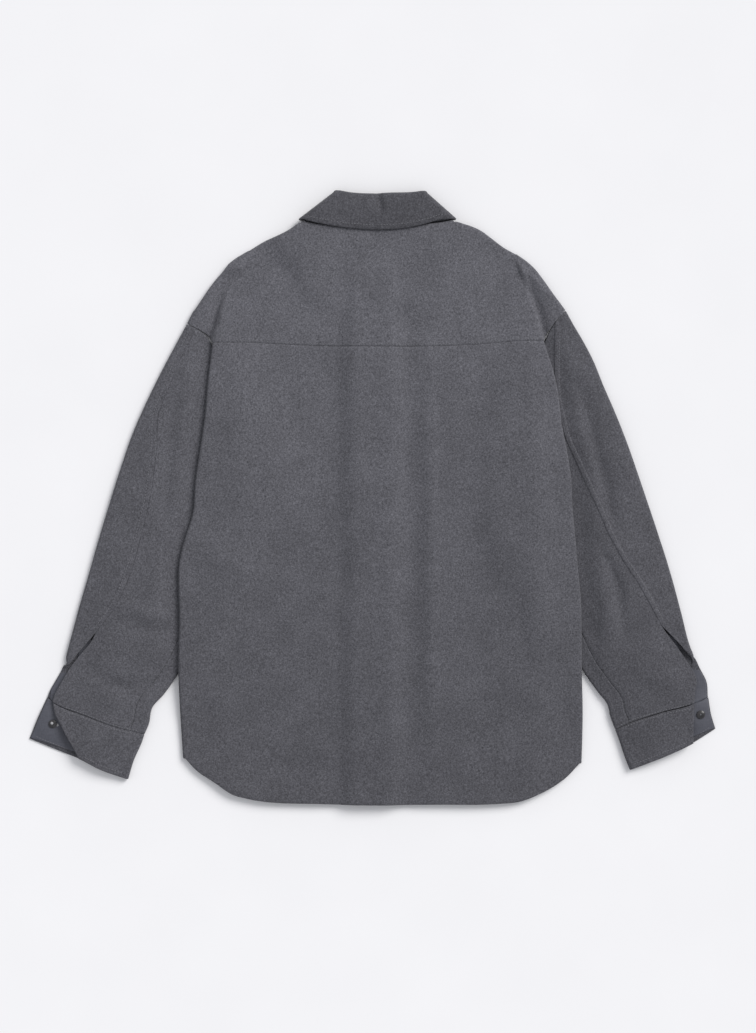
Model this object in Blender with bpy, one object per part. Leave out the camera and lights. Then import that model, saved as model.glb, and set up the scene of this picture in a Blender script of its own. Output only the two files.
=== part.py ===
"""A wool shirt-jacket laid flat with its back up.

X runs across the garment, Y from the hem to the collar and Z up from the floor it lies on.
Tables are in millimetres. A side's tables hold (out, y) points, out being the distance from
the centre line, so that the left and the right side share every function.
"""

import math

import bmesh
import bpy
import numpy as np

MM = 0.001
GARMENT = "shirt_jacket"
SHARP = 50

# Finishes: kind, colour and roughness
WOOL = ("wool", (0.10, 0.10, 0.113), 0.9)
FACING = ("facing", (0.065, 0.068, 0.085), 0.6)
HORN = ("horn", (0.02, 0.02, 0.024), 0.35)

# Cloth and how its plies lie
WALL = 2.0
FACING_WALL = 1.0
PLY = 3.2
FLOOR_MID = WALL / 2
SLEEVE_MID = FLOOR_MID + PLY
SEAM = 0.3
CUFF_GAP = 0.6

# The space that the hidden plies take under the back
TUCK_RISE = 2 * PLY
TUCK_FADE = 60.0
BUTTON_RISE = 2.8
LAP_RISE = PLY
BAND_HALF = 20.0
BAND_FADE = 28.0
LEAF_HALF = 38.0
LEAF_FADE = 30.0
LEAF_CORE = [(78, 352), (34, 290)]
PLACKET_TOP = 285.0
PLACKET_TOP_FADE = 50.0
TUCK_TOP = 203.0
TUCK_TOP_FADE = 105.0
TUCK_CORNER_SHARE = 0.19
UNDERARM_Y = 17.0
UNDERARM_FADE = 50.0
SOFTEST = 1e-9

# How full the cloth lies
BODY_LIFT_EDGE = 1.0
BODY_LIFT_MID = 3.0
BODY_LIFT_IN = 70.0
MIDDLE_SINK = 1.9
MIDDLE_FADE = 70.0
BODY_FOLDS_IN = 30.0
BODY_LIFT_LEAST = 0.3
SLEEVE_LOFT_EDGE = 2.5
SLEEVE_LOFT_MID = 4.5
SLEEVE_LOFT_LEAST = 0.6
CROWN_IN = 50.0
OPEN_FROM = 2.0
OPEN_FADE = 30.0
PRESSED_TOP = 230.0
PRESSED_FADE = 80.0

# Construction
RETURN = 9.0
LAP = 16.0
UNDERARM_IN = 20.0
SLIT_SHARE = 0.8
CAP_START = 0.03
CAP_CLEAR = 0.8
FADE_STEP = 1.2
FADE_FROM = 0.68
SHOULDER_ROLL = 5.4
OUTER_START = 0.006
BACK_COLUMNS = 19
NECK_COLUMNS = (4, 14)
SLIT_END_SHARE = 0.91
FOLD_STEP = 4.0
HIDDEN_SEAM = 0.8
HEM_INSET = 3.0
BUTTON_RADIUS = 9.0
BUTTON_THICK = 2.5
BUTTON_TOP_Y = 255.0
BUTTON_PITCH = 95.0
BUTTONS = 6
CUFF_BUTTON_RADIUS = 7.5
CUFF_BUTTON_THICK = 2.4
CUFF_BUTTON_RISE = 2.7
CUFF_RISE_HALF = 10.0
CUFF_RISE_FADE = 22.0
DISC_SIDES = 16
DISC_EASE = 0.25
BACKING_RADIUS = 5.5
BACKING_THICK = 1.2
FACING_IN = 1.5
FACING_UNDER = 16.0
FACING_MID = WALL + 0.4 + FACING_WALL / 2
FACING_RISE = 1.2
FACING_CLEAR = 13.0
STRIP = 8.0
LEAST_TOP = 2.0
LEVEL_IN = 0.4
LEVEL = np.array([1.0, 0.0])
STAND_TOP = 8.6
COLLAR_PLY = 3.8
LEAF_COLUMNS = 5
COLLAR_COLUMNS = 17
FALL_ROWS = [0, 0.3, 0.65, 1]
FALL_TURN = [60, 30, 0]
TURN = [-90, -60, -30, 0, 30, 60, 90]
LEAF_WIDTH = {"left": 1.0, "right": 1.15}
STAND_SEAM_IN = 6.0
FOLD_END_RISE = 1.2
FOLD_MIDDLE = 10.0
FOLD_HALF = 60.0
COLLAR_REST_Y = 352.0
COLLAR_CLEAR = 0.9
STAND_END = -65

# How closely the cloth is divided
BACK_ROWS = 22
YOKE_ROWS = 8
CAP_COLUMNS = 5
ARM_ROWS = 9
SIDE_ROWS = 12
FRONT_ACROSS = [0, 0.06, 0.11, 0.15, 0.2, 0.27, 0.35, 0.45, 0.56, 0.67, 0.78, 0.89, 1]
TOP_COLUMNS = 5
UNDER_COLUMNS = 7
UNDER_ACROSS = [0, 0.035, 0.07, 0.105, 0.14, 0.2, 0.36, 0.55, 0.77, 1]
CUFF_ROWS = 6
CUFF_COLUMNS = 9
CUFF_UNDER_COLUMNS = 15
FACING_ROWS = 7
FACING_COLUMNS = 8
SLIT_FACING_ROWS = 9
SLIT_FACING_COLUMNS = 5
OVER = [45, 0, -45, -90]

# Shares of a line's length
ARM_PART = 0.4
NECK_PART = 0.35
FRONT_ARM_START = 1.15
FRONT_SHOULDER_END = 0.35
ARM_OUTER_SHARE = 0.02
ARM_UNDER_SHARE = 0.05
ARM_INNER_SHARE = 0.93
CUFF_OUTER_SHARE = 0.04
CUFF_INNER_SHARE = 0.97
FOLD_CLOSE = 0.7
LOW_CORNER_SHARE = 0.25
HIGH_CORNER_SHARE = 0.7
LAST_ROWS = [0.935, 0.965, 1.0]
FLAT_FROM = 0.88
FLAT_FADE = 0.04
FACING_DOWN = (0.04, 0.92)
SLIT_FACING_DOWN = (0.83, 0.985)
FACING_OPEN_FROM = 0.935
FACING_OPEN_FADE = 0.02
TINY = 1e-6

# Where the cloth is cut, folded and sewn
YOKE_SEAM = [
    (-207, 201.5), (-163, 201.5), (-124, 199.5), (-55, 197), (20, 196.5), (88, 197), (148, 200),
    (192, 203.5), (222, 204),
]
HEM = [
    (-245.8, -338), (-234, -351), (-206, -370), (-183, -385), (-164, -390), (-61, -397), (36, -398),
    (83, -397.5), (165, -396.5), (192, -394), (220, -383.5), (256, -361), (271.7, -344.5),
]
NECK_SEAM = [(-94, 356.5), (-45, 354), (7, 353), (60, 354.5), (107, 358)]
FRONT_NECK = [(0, 290), (30, 296), (62, 312), (80, 328), (86, 339)]

LEFT = {
    "sign": -1,
    "hidden_shift": 0,
    "shoulder": [
        (240.5, 226), (236.5, 234), (223, 255), (210, 274), (197, 290), (178, 310), (160, 321),
    ],
    "neck_run": [(160, 321), (144, 331), (124, 341.5), (94, 356.5)],
    "fold": [
        (207, 201.5), (198, 229), (194, 249), (189, 265), (181, 279), (170, 291), (163, 303),
        (158.2, 317.5),
    ],
    "armhole": [
        (240.5, 226), (223, 217), (213, 210), (207, 201.5), (192, 178), (172, 147), (143, 82), (130, 17),
    ],
    "edge": [
        (207, 201.5), (209, 184.5), (212.7, 155), (216.3, 111.5), (223.6, 60.5), (229, 23.5), (233.6, -24.5),
        (240, -44), (248.4, -74), (250, -157), (251.3, -226), (250, -263), (245.8, -338),
    ],
    "outer": [
        (240.5, 226), (260, 190), (278.3, 155), (296.5, 117), (309.3, 88), (328, 34), (343, -14), (356, -57),
        (369.5, -104), (381, -143.5), (392, -184.5), (403.3, -222), (410, -234), (420, -252), (422.5, -259),
    ],
    "inner": [
        (130, 17), (164, -53), (204, -133), (234, -194), (251.5, -227), (270, -254), (286, -273), (290, -293),
        (295.8, -306.5),
    ],
    "back_seam": [
        (229, 220), (252.6, 173), (265.6, 140), (276, 114), (280, 62), (286.4, 10), (298, -42), (312.4, -94),
        (332, -139), (358, -174),
    ],
    "slit_top": [(358, -174), (366.5, -184), (386.5, -207.5), (397, -222), (403, -230)],
    "flap": [
        (358, -174), (363.5, -185), (378.4, -203), (391, -219), (402, -237), (412, -255.5), (415, -264.5),
    ],
    "cuff_seam": [(422.5, -259), (413, -266), (371, -283), (333.6, -297), (295.8, -306.5)],
    "cuff_outer": [(422.5, -259), (434, -285), (445.5, -312.5)],
    "cuff_hem": [(445.5, -312.5), (400, -331), (381.7, -338.3), (352, -353), (317, -365)],
    "cuff_inner": [(295.8, -306.5), (299, -316.5), (309, -339), (317, -365)],
    "cuff_flap": [
        (414, -265.5), (410.7, -280.5), (403.3, -294), (396, -309), (388.3, -322.5), (380, -338),
    ],
    "cuff_button": (414.5, -293),
}
RIGHT = {
    "sign": 1,
    "hidden_shift": 22,
    "shoulder": [(251, 243.5), (234, 266), (220.6, 284.5), (207.4, 300.5), (198, 308.5), (186, 316.5)],
    "neck_run": [(186, 316.5), (170, 325.5), (154, 337.5), (141, 347), (128, 353.5), (107, 358)],
    "fold": [
        (222, 204), (220.6, 207.5), (214, 231.5), (207.4, 251), (198, 275), (193, 292.5), (187, 304),
        (184, 313.2),
    ],
    "armhole": [
        (251, 243.5), (239, 230), (230, 218), (222, 204), (210, 178), (195, 147), (166, 82), (153, 17),
    ],
    "edge": [
        (222, 204), (230, 179.5), (235.3, 162.5), (240, 140.5), (245.3, 98.5), (254.4, 49.5), (258, 23.5),
        (259.5, -10), (264, -59.5), (267.5, -101), (270, -126), (271.5, -192), (271.8, -232), (273, -282),
        (271.7, -344.5),
    ],
    "outer": [
        (251, 243.5), (260.5, 226), (273.8, 203.5), (285.6, 181), (300, 146), (314.7, 111.5), (327.5, 78.5),
        (347, 23.5), (368.7, -39.5), (387, -97.5), (401.8, -152.5), (413, -194), (426.4, -222),
        (434.7, -238.7), (436.3, -258.7),
    ],
    "inner": [
        (153, 17), (184, -48), (225, -126), (254, -185), (271.3, -220.5), (292, -250.5), (306, -270),
        (308.5, -282), (315.4, -300.3),
    ],
    "back_seam": [
        (237, 227), (236, 180), (238, 130), (245.3, 99), (250, 79), (261.8, 53), (276.4, 20), (292.4, -15),
        (305.6, -46), (323.8, -79.5), (343.7, -109), (360.4, -139), (373.6, -164),
    ],
    "slit_top": [(373.6, -164), (391.6, -182), (403.5, -195), (409.4, -203), (417, -209.5)],
    "flap": [
        (373.6, -164), (376.6, -168.5), (393.5, -191), (411, -216), (418.3, -228), (420.7, -237),
        (418.5, -252), (417, -266),
    ],
    "cuff_seam": [
        (436.3, -258.7), (417, -267.5), (400.5, -272.4), (379.6, -277), (355.7, -284), (337.6, -290),
        (315.4, -300.3),
    ],
    "cuff_outer": [(436.3, -258.7), (439.8, -281), (445.6, -299.5)],
    "cuff_hem": [(445.6, -299.5), (417.3, -317.5), (391.6, -330), (360, -343), (334.4, -353)],
    "cuff_inner": [(315.4, -300.3), (320, -313), (327, -334), (334.4, -353)],
    "cuff_flap": [(417, -267), (416.5, -282), (416, -297), (416, -318)],
    "cuff_button": (426, -281),
}
SIDES = {"left": LEFT, "right": RIGHT}

# Which of the armhole's points the fold and the body's edge leave it from
ARMHOLE_CORNER = 3

# How much of the way to the armhole the back's turned-under cloth reaches: (y, share)
RETURN_LINE = [(200, 0.00), (147, 0.9), (82, 1.0), (17, 0.96), (-40, 0.8), (-75, 0.36), (-110, 0.0)]

COLLAR_EDGE = [
    (-88, 360.5), (-77, 357.2), (-62, 354.2), (-44, 351.2), (-23, 349), (5, 347.5), (27, 348), (42, 349.3),
    (57, 352), (72, 355.6), (87, 360), (101.5, 361),
]
COLLAR_FOLD = [(-43, 395.8), (-34, 394), (-5, 391.5), (23, 392.5), (57, 394), (64, 395)]
STAND_SEAM = [(-82, 358.5), (-45, 355.4), (7, 354.4), (60, 356), (95, 360)]
COLLAR_EDGE_FRONT = [(88, 360.5), (78, 320), (55, 262)]
COLLAR_FOLD_FRONT = [(43, 395.8), (40, 372), (25, 345), (4, 326)]
STAND_SEAM_FRONT = [(82, 358.5), (78, 344), (56, 323), (27, 307), (5, 302)]
# A front's own side edge, from the underarm to where the back's edge hides it, and below that
FRONT_SIDE = [(126, 15), (136, -12), (150, -42), (205, -80)]
FRONT_SIDE_SHARES = [0.61, 0.67, 0.74, 0.82, 0.91, 1.0]
FRONT_HEM_Y = -395.0

# Soft folds: points (x, y) along each, then its half width and height (a trough is negative)
BACK_FOLDS = [
    ((62, 175), (65, -60), (66, -320), 12, -1.3),
    ((92, 150), (94, -60), (92, -300), 20, 1.2),
    ((176, 185), (180, -40), (186, -330), 28, -1.2),
    ((-48, 190), (-44, 110), (-46, 20), 16, -1.0),
    ((-120, 170), (-128, 80), (-122, 0), 36, 1.2),
]
YOKE_FOLDS = [
    ((-85, 320), (-95, 290), (-88, 255), 26, 1.2),
    ((168, 310), (160, 275), (150, 240), 26, -1.2),
]
SLEEVE_FOLDS = {
    "left": [
        ((322, -152), (290, -158), (256, -160), 10, 2.2),
        ((312, -176), (280, -178), (258, -176), 9, -2.0),
        ((356, -228), (318, -250), (276, -236), 14, -1.8),
        ((258, 120), (262, 20), (270, -80), 14, -1.6),
    ],
    "right": [
        ((244, 150), (288, 82), (318, -40), 14, -2.8),
        ((304, 100), (328, 30), (340, -50), 16, 2.2),
        ((296, -60), (320, -118), (322, -172), 9, -2.4),
        ((268, -40), (274, -110), (300, -152), 8, -1.8),
    ],
}


def smooth(share):
    """Goes softly from 0 to 1 as share does."""
    held = np.clip(share, 0, 1)
    return held * held * (3 - 2 * held)


def band(value, half, fade):
    """1 within half of zero, and softly down to 0 over fade."""
    return 1 - smooth((np.abs(value) - half) / fade)


class Curve:
    """A smooth line through hand-set points, read by the share of its length."""

    def __init__(self, points):
        self.points = np.array(points, float)
        steps = np.linalg.norm(np.diff(self.points, axis=0), axis=1)
        self.length = steps.sum()
        self.knots = np.concatenate([[0.0], np.cumsum(steps)]) / self.length
        rates = np.diff(self.points, axis=0) / np.diff(self.knots)[:, None]
        before, after = np.diff(self.knots)[:-1, None], np.diff(self.knots)[1:, None]
        inside = (rates[:-1] * after + rates[1:] * before) / (before + after)
        self.rates = np.vstack([rates[:1], inside, rates[-1:]])

    def at(self, share):
        share = np.clip(np.asarray(share, float), 0, 1)
        i = np.clip(np.searchsorted(self.knots, share, side="right") - 1, 0, len(self.knots) - 2)
        span = self.knots[i + 1] - self.knots[i]
        t = ((share - self.knots[i]) / span)[..., None]
        span = span[..., None]
        start, end = self.points[i], self.points[i + 1]
        rise = (2 * t**3 - 3 * t**2 + 1) * start + (3 * t**2 - 2 * t**3) * end
        pull = (t**3 - 2 * t**2 + t) * self.rates[i] + (t**3 - t**2) * self.rates[i + 1]
        return rise + pull * span

    def away(self, share):
        """The level normal to the left of the way that the curve runs."""
        step = 0.01
        along = self.at(np.minimum(share + step, 1)) - self.at(np.maximum(share - step, 0))
        along /= np.linalg.norm(along, axis=-1, keepdims=True)
        return np.stack([-along[..., 1], along[..., 0]], axis=-1)


def beyond(points, out, y):
    """How far (out, y) lies outward of a line that runs down the garment."""
    out, y = np.broadcast_arrays(np.asarray(out, float), np.asarray(y, float))
    place = np.stack([out, y], axis=-1)[..., None, :]
    start, run = points[:-1], np.diff(points, axis=0)
    share = np.clip(((place - start) * run).sum(-1) / (run * run).sum(-1), 0, 1)
    gap = place - (start + share[..., None] * run)
    distance = np.linalg.norm(gap, axis=-1)
    nearest = distance.argmin(-1)[..., None]
    side = gap[..., 1] * run[:, 0] - gap[..., 0] * run[:, 1]
    sign = np.sign(np.take_along_axis(side, nearest, -1))[..., 0]
    return np.take_along_axis(distance, nearest, -1)[..., 0] * np.where(sign == 0, 1, sign)


def folds_at(folds, x, y):
    """The height that soft folds add at (x, y)."""
    total = np.zeros(np.broadcast(x, y).shape)
    for *points, half_width, height in folds:
        shares = np.linspace(0, 1, 13)
        line = Curve(points).at(shares)
        gaps = np.hypot(np.asarray(x)[..., None] - line[:, 0], np.asarray(y)[..., None] - line[:, 1])
        taper = np.sin(math.pi * np.clip(shares[gaps.argmin(-1)], 0.04, 0.96)) ** 0.5
        along = abs(beyond(line, x, y))
        total = total + height * taper * np.exp(-((along / half_width) ** 2))
    return total


def tuck_rise(table, out, y):
    """How much the sleeve and the turned-under cloth below lift the back."""
    inside = np.maximum(0, -beyond(table["tuck_line"], out, y))
    fade = 1 - smooth((y - TUCK_TOP) / TUCK_TOP_FADE)
    return TUCK_RISE * fade * (1 - smooth(inside / TUCK_FADE))


def leaf_rise(out, y):
    """How much the collar's front leaf lifts what lies on it."""
    return PLY * band(beyond(np.array(LEAF_CORE, float), out, y), LEAF_HALF, LEAF_FADE)


def either(a, b):
    """A soft maximum of two heights."""
    return (a**4 + b**4 + SOFTEST) ** 0.25


def placket_share(x, y):
    """1 where the fronts lap at the centre, going down to 0 beside and above it."""
    return band(x, BAND_HALF, BAND_FADE) * (1 - smooth((y - PLACKET_TOP) / PLACKET_TOP_FADE))


def tuck_at(x, y):
    """The tuck's rise of the side that x is on."""
    left = tuck_rise(LEFT, -x, y)
    right = tuck_rise(RIGHT, x, y)
    return np.where(x < 0, left, right)


def front_height(x, y, lapped):
    """The middle of a front's cloth."""
    y = np.asarray(y, float)
    under = tuck_at(x, y) * smooth((UNDERARM_Y - y) / UNDERARM_FADE)
    rise = either(BUTTON_RISE * placket_share(x, y), leaf_rise(abs(x), y))
    if lapped:
        rise = rise + LAP_RISE * placket_share(x, y)
    return FLOOR_MID + rise + under


def return_height(x, y):
    """The middle of the cloth that the back turns under at its sides."""
    return FLOOR_MID + either(tuck_at(x, y), leaf_rise(abs(x), y))


def back_height(x, y):
    """The middle of the back's cloth."""
    within = np.minimum(-beyond(LEFT["body_line"], -x, y), -beyond(RIGHT["body_line"], x, y))
    lift = BODY_LIFT_EDGE + (BODY_LIFT_MID - BODY_LIFT_EDGE) * smooth(within / BODY_LIFT_IN)
    lift = lift - MIDDLE_SINK * band(x, BAND_HALF, MIDDLE_FADE)
    folds = folds_at(BACK_FOLDS, x, y) * smooth(within / BODY_FOLDS_IN) + folds_at(YOKE_FOLDS, x, y)
    lift = np.maximum(lift + folds, BODY_LIFT_LEAST)
    rise = either((BUTTON_RISE + LAP_RISE) * placket_share(x, y), leaf_rise(abs(x), y))
    return FLOOR_MID + PLY + rise + tuck_at(x, y) + lift


def cuff_rise(table, out, y):
    """How much the cuff's button, which lies on the floor, lifts the cloth over it."""
    at = table["cuff_button"]
    distance = np.hypot(out - at[0], y - at[1])
    return CUFF_BUTTON_RISE * band(distance, CUFF_RISE_HALF, CUFF_RISE_FADE)


def sleeve_height(side, out, y):
    """The middle of a sleeve's upper ply."""
    table = SIDES[side]
    clear = beyond(table["body_line"], out, y)
    pressed = 1 - smooth((np.asarray(y, float) - PRESSED_TOP) / PRESSED_FADE)
    open_share = 1 - (1 - smooth((clear - OPEN_FROM) / OPEN_FADE)) * pressed
    from_outer = -beyond(table["outer_line"], out, y)
    from_inner = beyond(table["inner_line"], out, y)
    crown = smooth(from_outer / CROWN_IN) * smooth(from_inner / CROWN_IN)
    folds = folds_at(SLEEVE_FOLDS[side], out, y)
    loft = SLEEVE_LOFT_EDGE + SLEEVE_LOFT_MID * crown + folds
    return SLEEVE_MID + open_share * np.maximum(loft, SLEEVE_LOFT_LEAST) + cuff_rise(table, out, y)


def patch(left, right, bottom, top, across, up):
    """Fills the four-sided area between curves with rows and columns of (out, y) points."""
    u, v = across[None, :, None], up[:, None, None]
    sides = (1 - u) * left(up)[:, None] + u * right(up)[:, None]
    ends = (1 - v) * bottom(across)[None] + v * top(across)[None]
    low, high = bottom(np.array([0.0, 1.0])), top(np.array([0.0, 1.0]))
    corners = (1 - v) * ((1 - u) * low[0] + u * low[1]) + v * ((1 - u) * high[0] + u * high[1])
    return sides + ends - corners


def run_of(curve, start=0.0, end=1.0, shift=0.0):
    """A stretch of a curve as a function of its own share, moved to its left by shift."""

    def at(share):
        here = start + (end - start) * np.asarray(share, float)
        return curve.at(here) + shift * curve.away(here)

    return at


def roll(edge, outward, low, high, steps):
    """Half-round points from the height high to low, bulging outward from an edge's (x, y) points."""
    radius, middle = (high - low) / 2, (high + low) / 2
    found = []
    for angle in steps:
        turn = math.radians(angle)
        place = edge + outward * (radius * math.cos(turn))[:, None]
        found.append(np.column_stack([place, middle + radius * math.sin(turn)]))
    return found


def wall(name, grid, finish, thickness=WALL, keep=None):
    """Makes the closed wall of rows and columns of middle points, in millimetres."""
    down, across = np.gradient(grid, axis=0), np.gradient(grid, axis=1)
    normal = np.cross(across, down)
    normal /= np.linalg.norm(normal, axis=-1, keepdims=True)
    rows, columns = grid.shape[:2]
    half = thickness / 2
    points = np.concatenate([(grid + normal * half).reshape(-1, 3), (grid - normal * half).reshape(-1, 3)])
    count = rows * columns
    faces, edges = [], set()
    for r in range(rows - 1):
        for c in range(columns - 1):
            if keep is not None and not keep[r, c]:
                continue
            a = r * columns + c
            loop = (a, a + 1, a + columns + 1, a + columns)
            faces.append(loop)
            faces.append(tuple(corner + count for corner in loop[::-1]))
            edges.update(zip(loop, loop[1:] + loop[:1]))
    for a, b in sorted(edges):
        if (b, a) not in edges:
            faces.append((b, a, a + count, b + count))
    used = sorted({corner for face in faces for corner in face})
    number = {corner: k for k, corner in enumerate(used)}
    faces = [tuple(number[corner] for corner in face) for face in faces]
    return solid(name, points[used], faces, finish)


def solid(name, points, faces, finish):
    """Makes a closed body from points in millimetres and hangs it on the garment."""
    mesh = bpy.data.meshes.new(name)
    mesh.from_pydata((np.asarray(points) * MM).tolist(), [], faces)
    shaped = bmesh.new()
    shaped.from_mesh(mesh)
    bmesh.ops.recalc_face_normals(shaped, faces=shaped.faces)
    shaped.to_mesh(mesh)
    shaped.free()
    mesh.shade_smooth()
    mesh.set_sharp_from_angle(angle=math.radians(SHARP))
    mesh.materials.append(finished(name, finish))
    obj = bpy.data.objects.new(name, mesh)
    obj.parent = bpy.data.objects[GARMENT]
    bpy.context.scene.collection.objects.link(obj)
    return obj


def disc(name, centre, radius, thickness, finish, sides=DISC_SIDES):
    """A flat button with eased rims, standing on the height of its centre."""
    ease = DISC_EASE * thickness
    profile = [(radius - ease, 0), (radius, ease), (radius, thickness - ease), (radius - ease, thickness)]
    points = []
    for out, height in profile:
        for k in range(sides):
            turn = 2 * math.pi * k / sides
            points.append((out * math.cos(turn), out * math.sin(turn), height))
    faces = [tuple(range(sides - 1, -1, -1)), tuple(range(3 * sides, 4 * sides))]
    for ring in range(3):
        for k in range(sides):
            a, b = ring * sides + k, ring * sides + (k + 1) % sides
            faces.append((a, b, b + sides, a + sides))
    obj = solid(name, points, faces, finish)
    obj.location = [MM * place for place in centre]
    return obj


def finished(name, finish):
    """A material of the object's own, in one of the garment's finishes."""
    kind, colour, roughness = finish
    material = bpy.data.materials.new(f"{name}_{kind}")
    material.use_nodes = True
    shader = material.node_tree.nodes["Principled BSDF"]
    shader.inputs["Base Color"].default_value = (*colour, 1)
    shader.inputs["Roughness"].default_value = roughness
    shader.inputs["Metallic"].default_value = 0
    return material


def placed(points, sign):
    """(out, y) points of a side as (x, y) points."""
    return points * np.array([sign, 1.0])


def standing(points, height):
    """Level points raised to their heights."""
    return np.concatenate([points, height[..., None]], axis=-1)


def edge_radius(table, share):
    """The radius that the back's cloth turns with at the body's edge."""
    at = placed(table["curves"]["edge"].at(share), table["sign"])
    return (back_height(at[:, 0], at[:, 1]) - return_height(at[:, 0], at[:, 1])) / 2


def body_inset(table, share):
    """The body's edge, moved in to where the back's cloth starts to turn."""
    return table["curves"]["edge"].at(share) - LEVEL * (edge_radius(table, share) + WALL / 2)[:, None]


def turned_under(table, edge):
    """The end of the cloth that the back turns under, for each row's edge point."""
    heights = [row[0] for row in RETURN_LINE][::-1]
    amounts = [row[1] for row in RETURN_LINE][::-1]
    ys = edge[:, 1]
    armhole = table["armhole_at"](ys)
    full = np.maximum(edge[:, 0] - armhole - WALL, RETURN)
    width = RETURN + (full - RETURN) * np.interp(ys, heights, amounts)
    return edge - LEVEL * width[:, None]


def hidden_edge(line):
    """The armhole, then the sleeve's inner edge, as a distance out for each y."""
    shares = np.linspace(0, 1, 60)
    arm, inner = line["armhole"].at(shares), line["inner"].at(shares)
    line = np.vstack([arm, inner[1:]])
    order = np.argsort(line[:, 1])

    def at(ys):
        return np.interp(ys, line[order, 1], line[order, 0])

    return at


def prepare():
    """Adds to each side's table its curves and the lines that heights are measured from."""
    shares = np.linspace(0, 1, 40)
    for table in SIDES.values():
        line = {name: Curve(points) for name, points in table.items() if isinstance(points, list)}
        fold_up = line["fold"].at(shares[::-1])
        armhole = line["armhole"].at(np.linspace(TUCK_CORNER_SHARE, 1, 30))
        table["curves"] = line
        table["body_line"] = np.vstack([fold_up, line["edge"].at(shares)[1:]])
        table["tuck_line"] = np.vstack([fold_up, armhole, line["inner"].at(shares)[1:]])
        table["outer_line"] = np.vstack([line["outer"].at(shares), line["cuff_outer"].at(shares)[1:]])
        table["inner_line"] = np.vstack([line["inner"].at(shares), line["cuff_inner"].at(shares)[1:]])
        table["armhole_at"] = hidden_edge(line)


def back_panel(finish):
    """The back below the yoke, from side to side, with the cloth that it turns under there."""
    up = np.linspace(0, 1, BACK_ROWS)
    across = np.linspace(0, 1, BACK_COLUMNS)
    seam, hem = Curve(YOKE_SEAM), Curve(HEM)

    def left(share):
        return placed(body_inset(LEFT, share), -1)

    def right(share):
        return body_inset(RIGHT, share)

    flat = patch(left, right, seam.at, hem.at, across, up)
    flat[0, :, 1] -= SEAM
    flat = standing(flat, back_height(flat[..., 0], flat[..., 1]))
    columns = [flat[:, c] for c in range(len(across))]
    for table in (LEFT, RIGHT):
        start = flat[:, 0] if table is LEFT else flat[:, -1]
        edge = start[:, :2]
        outward = np.tile([table["sign"], 0.0], (len(edge), 1))
        low = return_height(edge[:, 0], edge[:, 1])
        turned = roll(edge, outward, low, start[:, 2], OVER)
        end = placed(turned_under(table, placed(edge, table["sign"])), table["sign"])
        for share in (0.5, 1):
            place = edge + (end - edge) * share
            turned.append(np.column_stack([place, return_height(place[:, 0], place[:, 1])]))
        columns = turned[::-1] + columns if table is LEFT else columns + turned
    return wall("back_panel", np.stack(columns, axis=1), finish)


def turn_inset(height):
    """How far inside the outline the cloth of that height starts to turn down to the floor ply."""
    return (height - FLOOR_MID) / 2 + WALL / 2


def cap_height(side, flat, share):
    """The cap's height: a sleeve's, going up to the back's as share goes to 1."""
    low = sleeve_height(side, flat[..., 0], flat[..., 1])
    high = back_height(flat[..., 0] * SIDES[side]["sign"], flat[..., 1])
    return low + (high - low) * share


def yoke_cap(side, across, up):
    """The drop-shoulder cap between the armhole seam, the fold and the shoulder's outline."""
    table = SIDES[side]
    line, sign = table["curves"], table["sign"]
    shoulder, armhole = line["shoulder"], line["armhole"]
    first = CAP_START

    def top(share):
        here = first + (1 - first) * share
        height = cap_height(side, shoulder.at(here), smooth(share))
        return shoulder.at(here) - way_out(shoulder, here) * turn_inset(height)[:, None]

    def bottom(share):
        here = first + (armhole.knots[ARMHOLE_CORNER] - FOLD_STEP / armhole.length - first) * share
        return armhole.at(here) - armhole.away(here) * (2 * SEAM + CAP_CLEAR * share[:, None])

    def outer(share):
        start, end = bottom(np.zeros(1)), top(np.zeros(1))
        return start + (end - start) * share[:, None]

    def step(share):
        beside = line["fold"].at(share) + LEVEL * FOLD_STEP * (1 - FOLD_CLOSE * share[:, None])
        low_corner = bottom(np.ones(1)) - line["fold"].at(0) - LEVEL * FOLD_STEP
        high_corner = top(np.ones(1)) - line["fold"].at(1) - LEVEL * FOLD_STEP * (1 - FOLD_CLOSE)
        beside = beside + low_corner * (1 - smooth(share / LOW_CORNER_SHARE))[:, None]
        return beside + (high_corner + LEVEL * FADE_STEP) * near_end(share)[:, None]

    flat = patch(outer, step, bottom, top, across, up)
    merge = smooth(across)[None, :] * smooth((up - FADE_FROM) / (1 - FADE_FROM))[:, None]
    grid = standing(placed(flat, sign), cap_height(side, flat, merge))
    return grid, placed(way_out(shoulder, first + (1 - first) * across), sign)


def near_end(share):
    """0 along a fold, going up to 1 over its last part, where it meets the outline."""
    return smooth((share - HIGH_CORNER_SHARE) / (1 - HIGH_CORNER_SHARE))


def neckline(share):
    """The outline between the two folds, its way out, and whether the yoke rolls over it."""
    left_run, right_run, neck = LEFT["curves"]["neck_run"], RIGHT["curves"]["neck_run"], Curve(NECK_SEAM)
    first, second = (column / (BACK_COLUMNS - 1) for column in NECK_COLUMNS)
    lead, tail = np.clip(share / first, 0, 1), np.clip((1 - share) / (1 - second), 0, 1)
    middle = np.clip((share - first) / (second - first), 0, 1)
    on_left, on_right = share <= first + TINY, share >= second - TINY
    at = np.where(on_left[:, None], placed(left_run.at(lead), -1), neck.at(middle))
    at = np.where(on_right[:, None], right_run.at(tail), at)
    way = np.where(on_left[:, None], placed(way_out(left_run, lead), -1), np.array([0.0, 1.0]))
    way = np.where(on_right[:, None], way_out(right_run, tail), way)
    return at, way, on_left | on_right


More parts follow.
